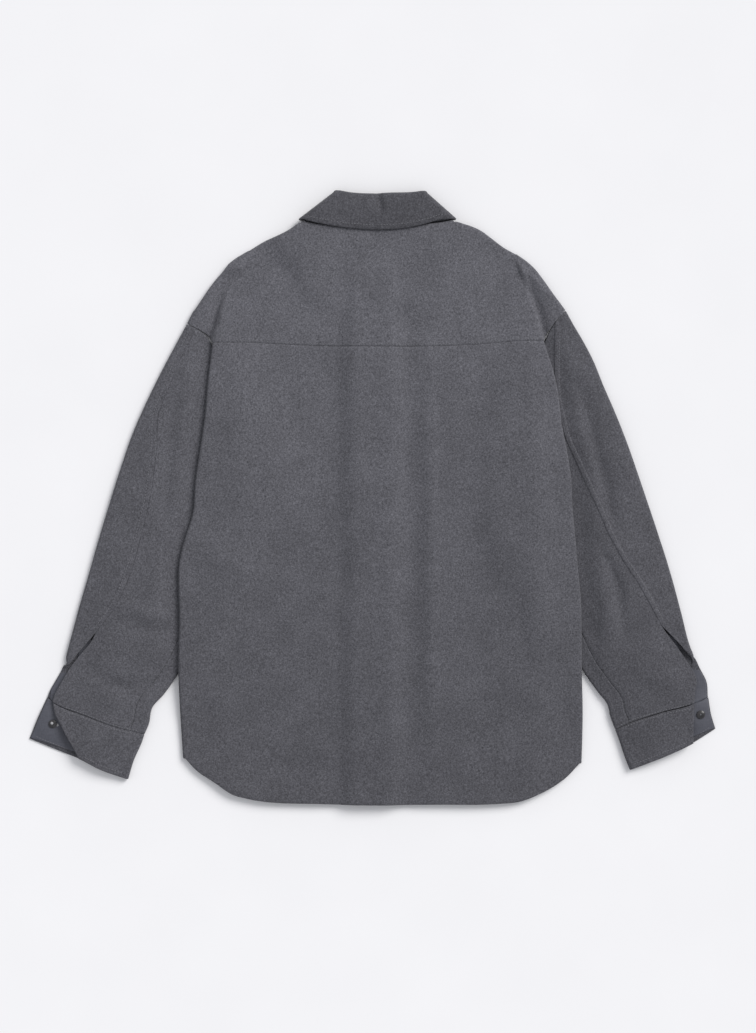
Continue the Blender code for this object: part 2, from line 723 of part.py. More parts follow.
def back_yoke(finish):
    """The yoke with its two caps, rolled over the shoulders down to the floor ply."""
    up, cap = np.linspace(0, 1, YOKE_ROWS), np.linspace(0, 1, CAP_COLUMNS)
    main_run = np.linspace(0, 1, BACK_COLUMNS)
    left_cap, left_way = yoke_cap("left", cap, up)
    right_cap, right_way = yoke_cap("right", cap, up)

    def top(share):
        at, way, rolled = neckline(share)
        inset = turn_inset(back_height(at[:, 0], at[:, 1]))
        return at - way * np.where(rolled, inset, SEAM)[:, None]

    def fold_of(table, corner):
        def at(share):
            points = placed(table["curves"]["fold"].at(share), table["sign"])
            return points + (top(corner) - points[-1:]) * near_end(share)[:, None]

        return at

    left, right = fold_of(LEFT, np.zeros(1)), fold_of(RIGHT, np.ones(1))

    flat = patch(left, right, Curve(YOKE_SEAM).at, top, main_run, up)
    flat[0, :, 1] += SEAM
    centre = standing(flat, back_height(flat[..., 0], flat[..., 1]))
    grid = np.concatenate([left_cap, centre, right_cap[:, ::-1]], axis=1)
    _, way, rolled = neckline(main_run)
    outward = np.concatenate([left_way, way, right_way[::-1]])
    rolled = np.concatenate([cap >= 0, rolled, cap >= 0])
    edge = grid[-1, :, :2]
    low = front_height(edge[:, 0], edge[:, 1], False)
    rows = roll(edge, outward, low, grid[-1, :, 2], OVER)
    place = edge - outward * RETURN
    rows.append(np.column_stack([place, front_height(place[:, 0], place[:, 1], False)]))
    ahead = standing(outward, np.zeros(len(outward))) * WALL
    turned = [np.where(rolled[:, None], row, grid[-1] + ahead * (k + 1)) for k, row in enumerate(rows)]
    grid = np.concatenate([grid, np.stack(turned)], axis=0)
    keep = np.ones((grid.shape[0] - 1, grid.shape[1] - 1), bool)
    keep[len(up) - 1 :] = rolled[1:] & rolled[:-1]
    return wall("back_yoke", grid, finish, keep=keep)


def way_out(curve, share):
    """The level way out of the garment from a side's outline, in (out, y)."""
    away = curve.away(np.asarray(share, float))
    return np.where(away[..., 1:] < 0, -away, away)


def front(name, table, lapped, finish):
    """One front: a plain ply from its lapped centre edge to the side."""
    armhole, sign = table["curves"]["armhole"], table["sign"]
    side_line = body_inset(table, np.array(FRONT_SIDE_SHARES)) - LEVEL * (RETURN + 2 * HIDDEN_SEAM)
    lower = Curve([(out + table["hidden_shift"], y) for out, y in FRONT_SIDE] + side_line.tolist())
    beside_arm, below = np.linspace(0, ARM_PART, ARM_ROWS), np.linspace(ARM_PART, 1, SIDE_ROWS)
    up = np.concatenate([beside_arm, below[1:]])
    shoulder = Curve(table["neck_run"][::-1] + table["shoulder"][::-1][1:])
    neck = Curve(FRONT_NECK)
    inset = WALL / 2 + SHOULDER_ROLL + RETURN + 2.5 * HIDDEN_SEAM
    arm_start = FRONT_ARM_START * inset / armhole.length
    shoulder_end = 1 - FRONT_SHOULDER_END * inset / shoulder.length

    def outer(share):
        here = arm_start + (1 - arm_start) * np.clip(share / ARM_PART, 0, 1)
        on_arm = armhole.at(here) - HIDDEN_SEAM * way_level(armhole, here)
        on_side = lower.at((share - ARM_PART) / (1 - ARM_PART))
        return np.where((share <= ARM_PART)[:, None], on_arm, on_side)

    def top(share):
        on_neck = neck.at(share / NECK_PART)
        here = np.clip((share - NECK_PART) / (1 - NECK_PART), 0, 1) * shoulder_end
        on_shoulder = shoulder.at(here) - inset * way_out(shoulder, here)
        return np.where((share < NECK_PART)[:, None], on_neck, on_shoulder)

    centre = straight(np.array([-LAP, FRONT_NECK[0][1]]), np.array([-LAP, FRONT_HEM_Y]))
    hem_line = Curve(HEM).at(np.linspace(0, 1, 200))

    def bottom(share):
        outs = -LAP + (side_line[-1, 0] + LAP) * share
        return np.column_stack([outs, np.interp(outs * sign, hem_line[:, 0], hem_line[:, 1]) + HEM_INSET])

    flat = placed(patch(centre, outer, top, bottom, np.array(FRONT_ACROSS), up), sign)
    height = front_height(flat[..., 0], flat[..., 1], lapped)
    return wall(name, standing(flat, height), finish)


def way_level(curve, share):
    """The level way from a side's line towards the side, in (out, y)."""
    away = curve.away(share)
    return np.where(away[..., :1] < 0, -away, away)


def blended(grid, other, share):
    """Goes row by row from one grid of points to another."""
    return grid + (other - grid) * share[:, None, None]


def straight(start, end):
    """The straight run between two points as a function of its share."""

    def at(share):
        return start + (end - start) * np.asarray(share)[:, None]

    return at


def edge_inset(side, name, share):
    """A sleeve's outline, its way to the side and how far in the cloth starts to turn."""
    curve = SIDES[side]["curves"][name]
    at, way = curve.at(share), way_level(curve, share)
    return at, way, turn_inset(sleeve_height(side, at[:, 0], at[:, 1]))


def outer_inset(side, share):
    """The same of the outer edge, which starts a little below the armhole's corner."""
    return edge_inset(side, "outer", np.maximum(share, OUTER_START))


def seam_edge(table, share, slit, shift):
    """The back seam, and below it the edge that one side of the slit has."""
    seam, below = table["curves"]["back_seam"], table["curves"][slit]
    end = SLIT_END_SHARE if slit == "slit_top" else 1.0
    on_seam = np.clip(share / SLIT_SHARE, 0, 1)
    on_slit = np.clip((share - SLIT_SHARE) / (end - SLIT_SHARE), 0, 1)
    at = np.where((share <= SLIT_SHARE)[:, None], seam.at(on_seam), below.at(on_slit))
    return at + LEVEL * shift


def share_near(curve, point):
    """The share of a curve's length that lies nearest to a point."""
    shares = np.linspace(0, 1, 400)
    return shares[np.linalg.norm(curve.at(shares) - np.array(point), axis=1).argmin()]


def on_cuff_seam(table, points):
    """Moves the last of a sleeve edge's points onto the cuff seam."""
    line = table["curves"]["cuff_seam"].at(np.linspace(0, 1, 100))[::-1]
    moved = points.copy()
    moved[-1, 1] = np.interp(moved[-1, 0], line[:, 0], line[:, 1]) + SEAM
    return moved


def through(shares, points):
    """The straight-sided line through points, as a function of the share that each one has."""

    def at(share):
        return np.column_stack([np.interp(share, shares, points[:, axis]) for axis in (0, 1)])

    return at


def sleeve_rows():
    """A sleeve's rows: above the slit, beside it, and close together down to the cuff seam."""
    above = np.linspace(0, SLIT_SHARE, 16)
    slit = np.linspace(SLIT_SHARE, SLIT_END_SHARE, 5)[1:]
    return np.concatenate([above, slit, LAST_ROWS])


def sleeve_top(side, finish):
    """The larger cut: from the back seam round the outer edge, below and up to the underarm seam."""
    table = SIDES[side]
    line, sign = table["curves"], table["sign"]
    rows = sleeve_rows()
    outline, way, inset = outer_inset(side, rows)
    flat_share = smooth((rows - FLAT_FROM) / FLAT_FADE)
    start = seam_edge(table, rows, "slit_top", SEAM)
    brim = outline - way * inset[:, None]
    gap = (brim - start) * way
    start = start - way * np.maximum(0, LEAST_TOP - gap.sum(1))[:, None]
    armhole = line["armhole"]
    arm_seam = share_near(armhole, table["back_seam"][0])

    below_seam = run_of(armhole, arm_seam, ARM_OUTER_SHARE, shift=SEAM)
    cuff_end = straight(start[-1], brim[-1])
    across = np.linspace(0, 1, TOP_COLUMNS)
    upper = patch(through(rows, start), through(rows, brim), below_seam, cuff_end, across, rows)
    upper_3d = standing(upper, sleeve_height(side, upper[..., 0], upper[..., 1]))
    columns = [upper_3d[:, c] for c in range(len(across))]
    edge = upper_3d[:, -1]
    columns += roll(edge[:, :2], way, np.full(len(rows), FLOOR_MID), edge[:, 2], OVER)
    spread = np.linspace(0, 1, len(columns))[None, :, None]
    reach = (inset + STRIP)[:, None, None]
    level = (outline - way * LEVEL_IN)[:, None] - way[:, None] * reach * spread
    level = standing(level, np.full(level.shape[:2], FLOOR_MID))
    turned = blended(np.stack(columns, axis=1), level, flat_share)
    within, way_in, inner_gap = edge_inset(side, "inner", rows)
    brim_in = within + way_in * inner_gap[:, None]
    low_edge = turned[:, -1, :2]
    lower = patch(
        through(rows, low_edge), through(rows, brim_in), run_of(armhole, ARM_UNDER_SHARE, 1, shift=SEAM),
        run_of(line["cuff_seam"], CUFF_OUTER_SHARE, CUFF_INNER_SHARE), np.linspace(0, 1, UNDER_COLUMNS), rows,
    )
    lower_3d = standing(lower, np.full(lower.shape[:2], FLOOR_MID))
    inner_edge = lower_3d[:, -1]
    high = sleeve_height(side, inner_edge[:, 0], inner_edge[:, 1])
    up = roll(inner_edge[:, :2], -way_in, np.full(len(rows), FLOOR_MID), high, OVER[::-1])[1:]
    last = inner_edge[:, :2]
    up.append(np.column_stack([last, high]))
    end = within + way_in * (UNDERARM_IN - SEAM / 2)
    half = (last + end) / 2
    for place in (on_cuff_seam(table, half), on_cuff_seam(table, end)):
        up.append(np.column_stack([place, sleeve_height(side, place[:, 0], place[:, 1])]))
    grid = np.concatenate([turned, lower_3d[:, 1:], np.stack(up, axis=1)], axis=1)
    return wall(f"sleeve_{side}_top", mirrored(grid, sign), finish)


def mirrored(grid, sign):
    """A side's (out, y, z) points as (x, y, z) points."""
    return grid * np.array([sign, 1.0, 1.0])


def sleeve_under(side, finish):
    """The narrower cut, between the back seam with its slit and the underarm seam."""
    table = SIDES[side]
    line, sign = table["curves"], table["sign"]
    rows = sleeve_rows()
    start = seam_edge(table, rows, "flap", -SEAM)
    within, way_in, _ = edge_inset(side, "inner", rows)
    end = on_cuff_seam(table, within + way_in * (UNDERARM_IN + SEAM / 2))

    armhole, cuff_seam = line["armhole"], line["cuff_seam"]
    bottom = run_of(armhole, share_near(armhole, table["back_seam"][0]), ARM_INNER_SHARE, shift=SEAM)
    top = run_of(cuff_seam, cuff_seam.knots[1], share_near(cuff_seam, end[-1]))
    across = np.array(UNDER_ACROSS)
    flat = patch(through(rows, start), through(rows, end), bottom, top, across, rows)
    flat[-1, :, 1] += SEAM
    grid = standing(flat, sleeve_height(side, flat[..., 0], flat[..., 1]))
    return wall(f"sleeve_{side}_under", mirrored(grid, sign), finish)


def cuff(side, finish):
    """The cuff: from its free edge by the slit round the inner edge and back below."""
    table = SIDES[side]
    line, sign = table["curves"], table["sign"]
    down = np.linspace(0, 1, CUFF_ROWS)
    seam, hem = line["cuff_seam"], line["cuff_hem"]
    inner, flap, outer = line["cuff_inner"], line["cuff_flap"], line["cuff_outer"]
    seam_gap = np.column_stack([np.zeros(CUFF_ROWS), -SEAM * (1 - down)])
    at, way = inner.at(down), way_level(inner, down)
    brim = at + way * turn_inset(sleeve_height(side, at[:, 0], at[:, 1]))[:, None]

    flap_end = share_near(hem, table["cuff_flap"][-1])
    upper = patch(
        through(down, flap.at(down) + seam_gap), through(down, brim + seam_gap),
        run_of(seam, seam.knots[1], CUFF_INNER_SHARE), run_of(hem, flap_end, CUFF_INNER_SHARE),
        np.linspace(0, 1, CUFF_COLUMNS), down,
    )
    upper = standing(upper, sleeve_height(side, upper[..., 0], upper[..., 1]))
    columns = [upper[:, c] for c in range(CUFF_COLUMNS)]
    edge = upper[:, -1]
    low = FLOOR_MID + cuff_rise(table, edge[:, 0], edge[:, 1])
    columns += roll(edge[:, :2], -way, low, edge[:, 2], OVER)
    lower = patch(
        through(down, edge[:, :2]), through(down, outer.at(down) + seam_gap),
        run_of(seam, CUFF_INNER_SHARE, 0), run_of(hem, CUFF_INNER_SHARE, 0),
        np.linspace(0, 1, CUFF_UNDER_COLUMNS), down,
    )
    lower = standing(lower, FLOOR_MID + cuff_rise(table, lower[..., 0], lower[..., 1]))
    grid = np.concatenate([np.stack(columns, axis=1), lower[:, 1:]], axis=1)
    grid[0, :, 1] -= CUFF_GAP
    return wall(f"cuff_{side}", mirrored(grid, sign), finish)


def cuff_facing(side, finish):
    """The smooth inside of the cuff's lower end, which shows past the free edge."""
    table = SIDES[side]
    line, sign = table["curves"], table["sign"]
    down = np.linspace(*FACING_DOWN, FACING_ROWS)
    outer = line["cuff_outer"].at(down) - LEVEL * FACING_IN
    inner = line["cuff_flap"].at(down) - LEVEL * FACING_UNDER
    across = np.linspace(0, 1, FACING_COLUMNS)[None, :, None]
    flat = outer[:, None] + (inner - outer)[:, None] * across
    height = FACING_MID + FACING_RISE * cuff_rise(table, flat[..., 0], flat[..., 1])
    return wall(f"cuff_facing_{side}", mirrored(standing(flat, height), sign), finish, FACING_WALL)


def slit_facing(side, finish):
    """The smooth facing inside the sleeve's open slit."""
    table = SIDES[side]
    rows = np.linspace(*SLIT_FACING_DOWN, SLIT_FACING_ROWS)
    closed = 1 - smooth((rows - FACING_OPEN_FROM) / FACING_OPEN_FADE)
    outline, way, _ = outer_inset(side, rows)
    outer = outline - way * (FACING_IN + FACING_CLEAR * closed)[:, None]
    inner = seam_edge(table, rows, "flap", 0) - LEVEL * FACING_UNDER
    across = np.linspace(0, 1, SLIT_FACING_COLUMNS)[None, :, None]
    flat = outer[:, None] + (inner - outer)[:, None] * across
    height = FACING_MID + FACING_RISE * cuff_rise(table, flat[..., 0], flat[..., 1])
    return wall(f"slit_facing_{side}", mirrored(standing(flat, height), table["sign"]), finish, FACING_WALL)


def cuff_discs(side, finish):
    """The cuff's button, below on the floor, and the small disc sewn behind it."""
    table = SIDES[side]
    out, y = table["cuff_button"]
    x = out * table["sign"]
    disc(f"cuff_button_{side}", (x, y, 0), CUFF_BUTTON_RADIUS, CUFF_BUTTON_THICK, finish)
    base = FACING_MID + FACING_WALL / 2 + SEAM + FACING_RISE * CUFF_BUTTON_RISE
    disc(f"cuff_backing_{side}", (x, y, base), BACKING_RADIUS, BACKING_THICK, finish)


def ring(back, left_front, right_front, back_z, front_z):
    """A collar's line all round: middle points and the ways out, from one front end to the other."""
    points, ways = [], []
    for share in np.linspace(1, 0, LEAF_COLUMNS)[:-1]:
        x, y = left_front.at(share)
        points.append((x, y, front_z))
        ways.append((0, 0, -1))
    ends = back.at(np.array([0.0, 1.0]))
    tops = [back_z(*ends[0]), back_z(*ends[1])]
    for sign, end, top, angles in ((-1, ends[0], tops[0], TURN), (1, ends[1], tops[1], TURN[::-1])):
        middle, radius = (top + front_z) / 2, (top - front_z) / 2
        for angle in angles:
            turn = math.radians(angle)
            way = (sign * math.cos(turn), 0, math.sin(turn))
            points.append((end[0] + radius * way[0], end[1], middle + radius * way[2]))
            ways.append(way)
        if sign < 0:
            for share in np.linspace(0, 1, COLLAR_COLUMNS)[1:-1]:
                x, y = back.at(share)
                points.append((x, y, back_z(x, y)))
                ways.append((0, 0, 1))
    for share in np.linspace(0, 1, LEAF_COLUMNS)[1:]:
        x, y = right_front.at(share)
        points.append((x, y, front_z))
        ways.append((0, 0, -1))
    return np.array(points, float), np.array(ways, float)


def front_run(points, side):
    """A collar line's front run, from the side of the neck to the front end."""
    wide = LEAF_WIDTH[side]
    sign = SIDES[side]["sign"]
    return Curve([(sign * out * wide, y) for out, y in points])


def back_level(x, y):
    """The back's height at one place."""
    return float(back_height(np.array([x]), np.array([y]))[0])


def seam_level(x, y):
    """How high the collar stand's seam lies on the neck."""
    return back_level(x, y - STAND_SEAM_IN)


def fold_level(x, y):
    """How high the collar's fold stands, a little higher towards its ends."""
    return STAND_TOP + FOLD_END_RISE * min(1.0, abs(x - FOLD_MIDDLE) / FOLD_HALF) ** 2


def rest_level(x, y):
    """How high the collar's lower edge rests on the yoke."""
    return back_level(x, min(y, COLLAR_REST_Y)) + WALL + COLLAR_CLEAR


def collar(finish):
    """The stand, from the neck seam up to the fold, and the fall, from its edge over the fold."""
    on_front = FLOOR_MID + COLLAR_PLY
    lines = {}
    for name, back, run, level, front_z in (
        ("seam", STAND_SEAM, STAND_SEAM_FRONT, seam_level, on_front),
        ("fold", COLLAR_FOLD, COLLAR_FOLD_FRONT, fold_level, on_front),
        ("edge", COLLAR_EDGE, COLLAR_EDGE_FRONT, rest_level, FLOOR_MID),
    ):
        runs = [front_run(run, side) for side in SIDES]
        lines[name] = ring(Curve(back), *runs, level, front_z)
    fold_points, ways = lines["fold"]
    crest = fold_points + ways * COLLAR_PLY
    half = COLLAR_PLY / 2
    rise = fold_points - lines["seam"][0]
    rise -= ways * (rise * ways).sum(1)[:, None]
    rise /= np.linalg.norm(rise, axis=1)[:, None]

    def over(angle):
        turn = math.radians(angle)
        return fold_points + ways * half * (1 + math.sin(turn)) + rise * half * math.cos(turn)

    stand = [lines["seam"][0], (lines["seam"][0] + fold_points) / 2, fold_points]
    stand.append(over(STAND_END))
    wall("collar_stand", np.stack(stand), finish)
    low = lines["edge"][0]
    fall = [low + (crest - low) * share for share in FALL_ROWS]
    fall += [over(angle) for angle in FALL_TURN]
    wall("collar_fall", np.stack(fall), finish)


def main():
    for obj in list(bpy.data.objects):
        bpy.data.objects.remove(obj)
    bpy.context.scene.collection.objects.link(bpy.data.objects.new(GARMENT, None))
    prepare()
    back_panel(WOOL)
    back_yoke(WOOL)
    front("front_left", LEFT, False, WOOL)
    front("front_right", RIGHT, True, WOOL)
    collar(WOOL)
    for side in SIDES:
        sleeve_top(side, WOOL)
        sleeve_under(side, WOOL)
        cuff(side, WOOL)
        cuff_facing(side, FACING)
        slit_facing(side, FACING)
        cuff_discs(side, HORN)
    for k in range(BUTTONS):
        centre = (0, BUTTON_TOP_Y - k * BUTTON_PITCH, 0)
        disc(f"front_button_{k + 1}", centre, BUTTON_RADIUS, BUTTON_THICK, HORN)


main()
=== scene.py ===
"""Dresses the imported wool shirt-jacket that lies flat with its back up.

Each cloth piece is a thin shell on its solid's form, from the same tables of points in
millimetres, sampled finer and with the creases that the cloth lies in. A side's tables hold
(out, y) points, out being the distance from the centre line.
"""

import math

import bmesh
import bpy
import numpy as np
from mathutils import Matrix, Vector
from mathutils.bvhtree import BVHTree


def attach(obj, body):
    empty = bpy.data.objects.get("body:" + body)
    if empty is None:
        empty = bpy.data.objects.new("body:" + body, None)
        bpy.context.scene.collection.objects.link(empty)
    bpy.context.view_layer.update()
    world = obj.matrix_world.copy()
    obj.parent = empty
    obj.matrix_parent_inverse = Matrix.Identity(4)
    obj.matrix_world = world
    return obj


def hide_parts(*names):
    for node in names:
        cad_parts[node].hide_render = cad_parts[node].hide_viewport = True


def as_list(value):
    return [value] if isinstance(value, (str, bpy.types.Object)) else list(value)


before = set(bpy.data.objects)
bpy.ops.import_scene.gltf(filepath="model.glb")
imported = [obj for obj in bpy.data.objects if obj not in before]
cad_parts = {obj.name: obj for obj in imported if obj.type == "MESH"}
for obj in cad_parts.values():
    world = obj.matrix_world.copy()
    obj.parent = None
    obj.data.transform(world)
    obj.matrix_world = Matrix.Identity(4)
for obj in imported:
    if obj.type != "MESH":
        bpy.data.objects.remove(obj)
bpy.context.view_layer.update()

MM = 0.001
# In metres, well above the garment, where the search for a stitch's height starts
RAY_FROM = 0.06

# How finely the cloth is sampled, and how its edges are eased
FINE = 4
DOWN_FINE = 5
ACROSS_FINE = 6
TOP_FINE = 3
FRONT_FINE = 2
EDGE_CELL = 0.2
EDGE_THICKNESS = 0.5

# How closely each piece is divided before that
BACK_ROWS = 22
BACK_COLUMNS = 19
YOKE_ROWS = 8
CAP_COLUMNS = 5
ARM_ROWS = 9
SIDE_ROWS = 12
FRONT_ACROSS = [0, 0.06, 0.11, 0.15, 0.2, 0.27, 0.35, 0.45, 0.56, 0.67, 0.78, 0.89, 1]
SLEEVE_ROWS = 16
SLIT_ROWS = 5
LAST_ROWS = [0.935, 0.965, 1.0]
TOP_ACROSS = [0, 0.02, 0.045, 0.075, 0.12, 0.25, 0.5, 0.75, 1]
BELOW_COLUMNS = 7
UNDER_ACROSS = [0, 0.035, 0.07, 0.105, 0.14, 0.2, 0.36, 0.55, 0.77, 1]
TURNED = [0, 0.5, 1]
CUFF_ROWS = 6
CUFF_COLUMNS = 9
CUFF_BELOW_COLUMNS = 15
FACING_ROWS = 7
FACING_COLUMNS = 8
SLIT_FACING_ROWS = 9
SLIT_FACING_COLUMNS = 5
LEAF_COLUMNS = 17
COLLAR_COLUMNS = 65
STAND_ROWS = 9
FALL_ROWS = 13
DISC_SIDES = 16

# The angles that cloth turns down through, and the collar over its fold
OVER = [67.5, 45, 22.5, 0, -22.5, -45, -67.5, -90]
TURN = [-90, -75, -60, -45, -30, -15, 0, 15, 30, 45, 60, 75, 90]
STAND_TURN = [-78, -65]
FALL_TURN = [75, 60, 45, 30, 15, 0]

# How many points stand for a line
FOLD_STEPS = 31
LINE_STEPS = 40
ARM_STEPS = 30
EDGE_STEPS = 60
SEAM_STEPS = 100
HEM_STEPS = 200
NEAR_STEPS = 400
MOVED_STEPS = 24
PART_STEPS = 20
AWAY_STEP = 0.01
TINY = 1e-6

# Cloth and how its plies lie
WALL = 2.0
FACING_WALL = 1.0
PLY = 3.2
FLOOR_MID = WALL / 2
SLEEVE_MID = FLOOR_MID + PLY
SEAM = 0.08
LEVEL = np.array([1.0, 0.0])
CUFF_GAP = 0.1

# The space that the hidden plies take under the back
TUCK_RISE = 2 * PLY
TUCK_FADE = 60.0
BUTTON_RISE = 2.8
LAP_RISE = PLY
BAND_HALF = 20.0
BAND_FADE = 28.0
LEAF_HALF = 38.0
LEAF_FADE = 30.0
LEAF_CORE = [(78, 352), (34, 290)]
PLACKET_TOP = 285.0
PLACKET_TOP_FADE = 50.0
TUCK_TOP = 203.0
TUCK_TOP_FADE = 105.0
TUCK_CORNER_SHARE = 0.19
UNDERARM_Y = 17.0
UNDERARM_FADE = 50.0
SOFTEST = 1e-9

# How full the cloth lies
BODY_LIFT_EDGE = 1.0
BODY_LIFT_MID = 4.5
BODY_LIFT_IN = 70.0
MIDDLE_SINK = 1.9
MIDDLE_FADE = 70.0
BODY_FOLDS_IN = 30.0
BODY_LIFT_LEAST = 0.3
SLEEVE_LOFT_EDGE = 2.5
SLEEVE_LOFT_MID = 4.5
SLEEVE_LOFT_LEAST = 0.6
CROWN_IN = 50.0
OPEN_FROM = 2.0
OPEN_FADE = 30.0
PRESSED_TOP = 230.0
PRESSED_FADE = 80.0

# Construction
RETURN = 9.0
LAP = 16.0
UNDERARM_IN = 20.0
SLIT_SHARE = 0.8
CAP_START = 0.004
CAP_ARM_START = 0.018
FADE_STEP = 1.2
FADE_FROM = 0.8
SHOULDER_ROLL = 5.4
OUTER_START = 0.001
NECK_COLUMNS = (4, 14)
SLIT_END_SHARE = 0.91
FOLD_STEP = 4.0
HIDDEN_SEAM = 0.8
HEM_INSET = 3.0
BUTTON_RADIUS = 9.0
BUTTON_THICK = 2.5
BUTTON_TOP_Y = 255.0
BUTTON_PITCH = 95.0
BUTTONS = 6
CUFF_BUTTON_RADIUS = 7.5
CUFF_BUTTON_THICK = 2.4
CUFF_BUTTON_RISE = 2.7
CUFF_RISE_HALF = 10.0
CUFF_RISE_FADE = 22.0
DISC_EASE = 0.25
BACKING_RADIUS = 5.5
BACKING_THICK = 1.2
FACING_IN = 1.5
FACING_SEAM = 0.2
FACING_OPEN_FROM = 0.912
FACING_OPEN_FADE = 0.02
FACING_UNDER = 16.0
FACING_LIFT = 0.4
FACING_MID = WALL + FACING_LIFT + FACING_WALL / 2
FACING_RISE = 1.2
FACING_CLEAR = 13.0
STRIP = 8.0
LEAST_TOP = 2.0
LEVEL_IN = 0.4
AHEAD = 3.0
NOTCH_FILL = 9.0
STAND_TOP = 8.6
COLLAR_PLY = 3.8
LEAF_WIDTH = {"left": 1.0, "right": 1.15}
STAND_SEAM_IN = 6.0
FOLD_END_RISE = 1.2
FOLD_MIDDLE = 10.0
FOLD_HALF = 60.0
COLLAR_REST_Y = 352.0
COLLAR_CLEAR = 0.9

# Shares of a line's length
ARM_PART = 0.4
NECK_PART = 0.35
FRONT_ARM_START = 1.15
FRONT_SHOULDER_END = 0.35
ARM_UNDER_SHARE = 0.05
ARM_INNER_SHARE = 0.93
ARM_OUTER_SHARE = 0.018
CUFF_OUTER_SHARE = 0.04
CUFF_INNER_SHARE = 0.97
FOLD_CLOSE = 0.7
LOW_CORNER_SHARE = 0.25
HIGH_CORNER_SHARE = 0.7
FLAT_FROM = 0.88
FLAT_FADE = 0.04
FACING_DOWN = (0.02, 0.975)
SLIT_FACING_DOWN = (0.83, 0.985)

# Where the cloth is cut, folded and sewn
YOKE_SEAM = [
    (-207, 201.5), (-163, 201.5), (-124, 199.5), (-55, 197), (20, 196.5), (88, 197), (148, 200),
    (192, 203.5), (222, 204),
]
HEM = [
    (-245.8, -338), (-234, -351), (-206, -370), (-183, -385), (-164, -390), (-61, -397), (36, -398),
    (83, -397.5), (165, -396.5), (192, -394), (220, -383.5), (256, -361), (271.7, -344.5),
]
NECK_SEAM = [(-94, 356.5), (-45, 354), (7, 353), (60, 354.5), (107, 358)]
FRONT_NECK = [(0, 290), (30, 296), (62, 312), (80, 328), (86, 339)]

LEFT = {
    "sign": -1,
    "hidden_shift": 0,
    "shoulder": [
        (240.5, 226), (236.5, 234), (223, 255), (210, 274), (197, 290), (178, 310), (160, 321),
    ],
    "neck_run": [(160, 321), (144, 331), (124, 341.5), (94, 356.5)],
    "fold": [
        (207, 201.5), (198, 229), (194, 249), (189, 265), (181, 279), (170, 291), (163, 303),
        (158.2, 317.5),
    ],
    "armhole": [
        (240.5, 226), (223, 217), (213, 210), (207, 201.5), (192, 178), (172, 147), (143, 82), (130, 17),
    ],
    "edge": [
        (207, 201.5), (209, 184.5), (212.7, 155), (216.3, 111.5), (223.6, 60.5), (229, 23.5), (233.6, -24.5),
        (240, -44), (248.4, -74), (250, -157), (251.3, -226), (250, -263), (245.8, -338),
    ],
    "outer": [
        (240.5, 226), (260, 190), (278.3, 155), (296.5, 117), (309.3, 88), (328, 34), (343, -14), (356, -57),
        (369.5, -104), (381, -143.5), (392, -184.5), (403.3, -222), (410, -234), (420, -252), (422.5, -259),
    ],
    "inner": [
        (130, 17), (164, -53), (204, -133), (234, -194), (251.5, -227), (270, -254), (286, -273), (290, -293),
        (295.8, -306.5),
    ],
    "back_seam": [
        (229, 220), (252.6, 173), (265.6, 140), (276, 114), (280, 62), (286.4, 10), (298, -42), (312.4, -94),
        (332, -139), (358, -174),
    ],
    "slit_top": [(358, -174), (366.5, -184), (386.5, -207.5), (397, -222), (403, -230)],
    "flap": [
        (358, -174), (363.5, -185), (378.4, -203), (391, -219), (402, -237), (412, -255.5), (415, -264.5),
    ],
    "cuff_seam": [(422.5, -259), (413, -266), (371, -283), (333.6, -297), (295.8, -306.5)],
    "cuff_outer": [(422.5, -259), (434, -285), (445.5, -312.5)],
    "cuff_hem": [(445.5, -312.5), (400, -331), (381.7, -338.3), (352, -353), (317, -365)],
    "cuff_inner": [(295.8, -306.5), (299, -316.5), (309, -339), (317, -365)],
    "cuff_flap": [
        (414, -265.5), (410.7, -280.5), (403.3, -294), (396, -309), (388.3, -322.5), (380, -338),
    ],
    "cuff_button": (414.5, -293),
}
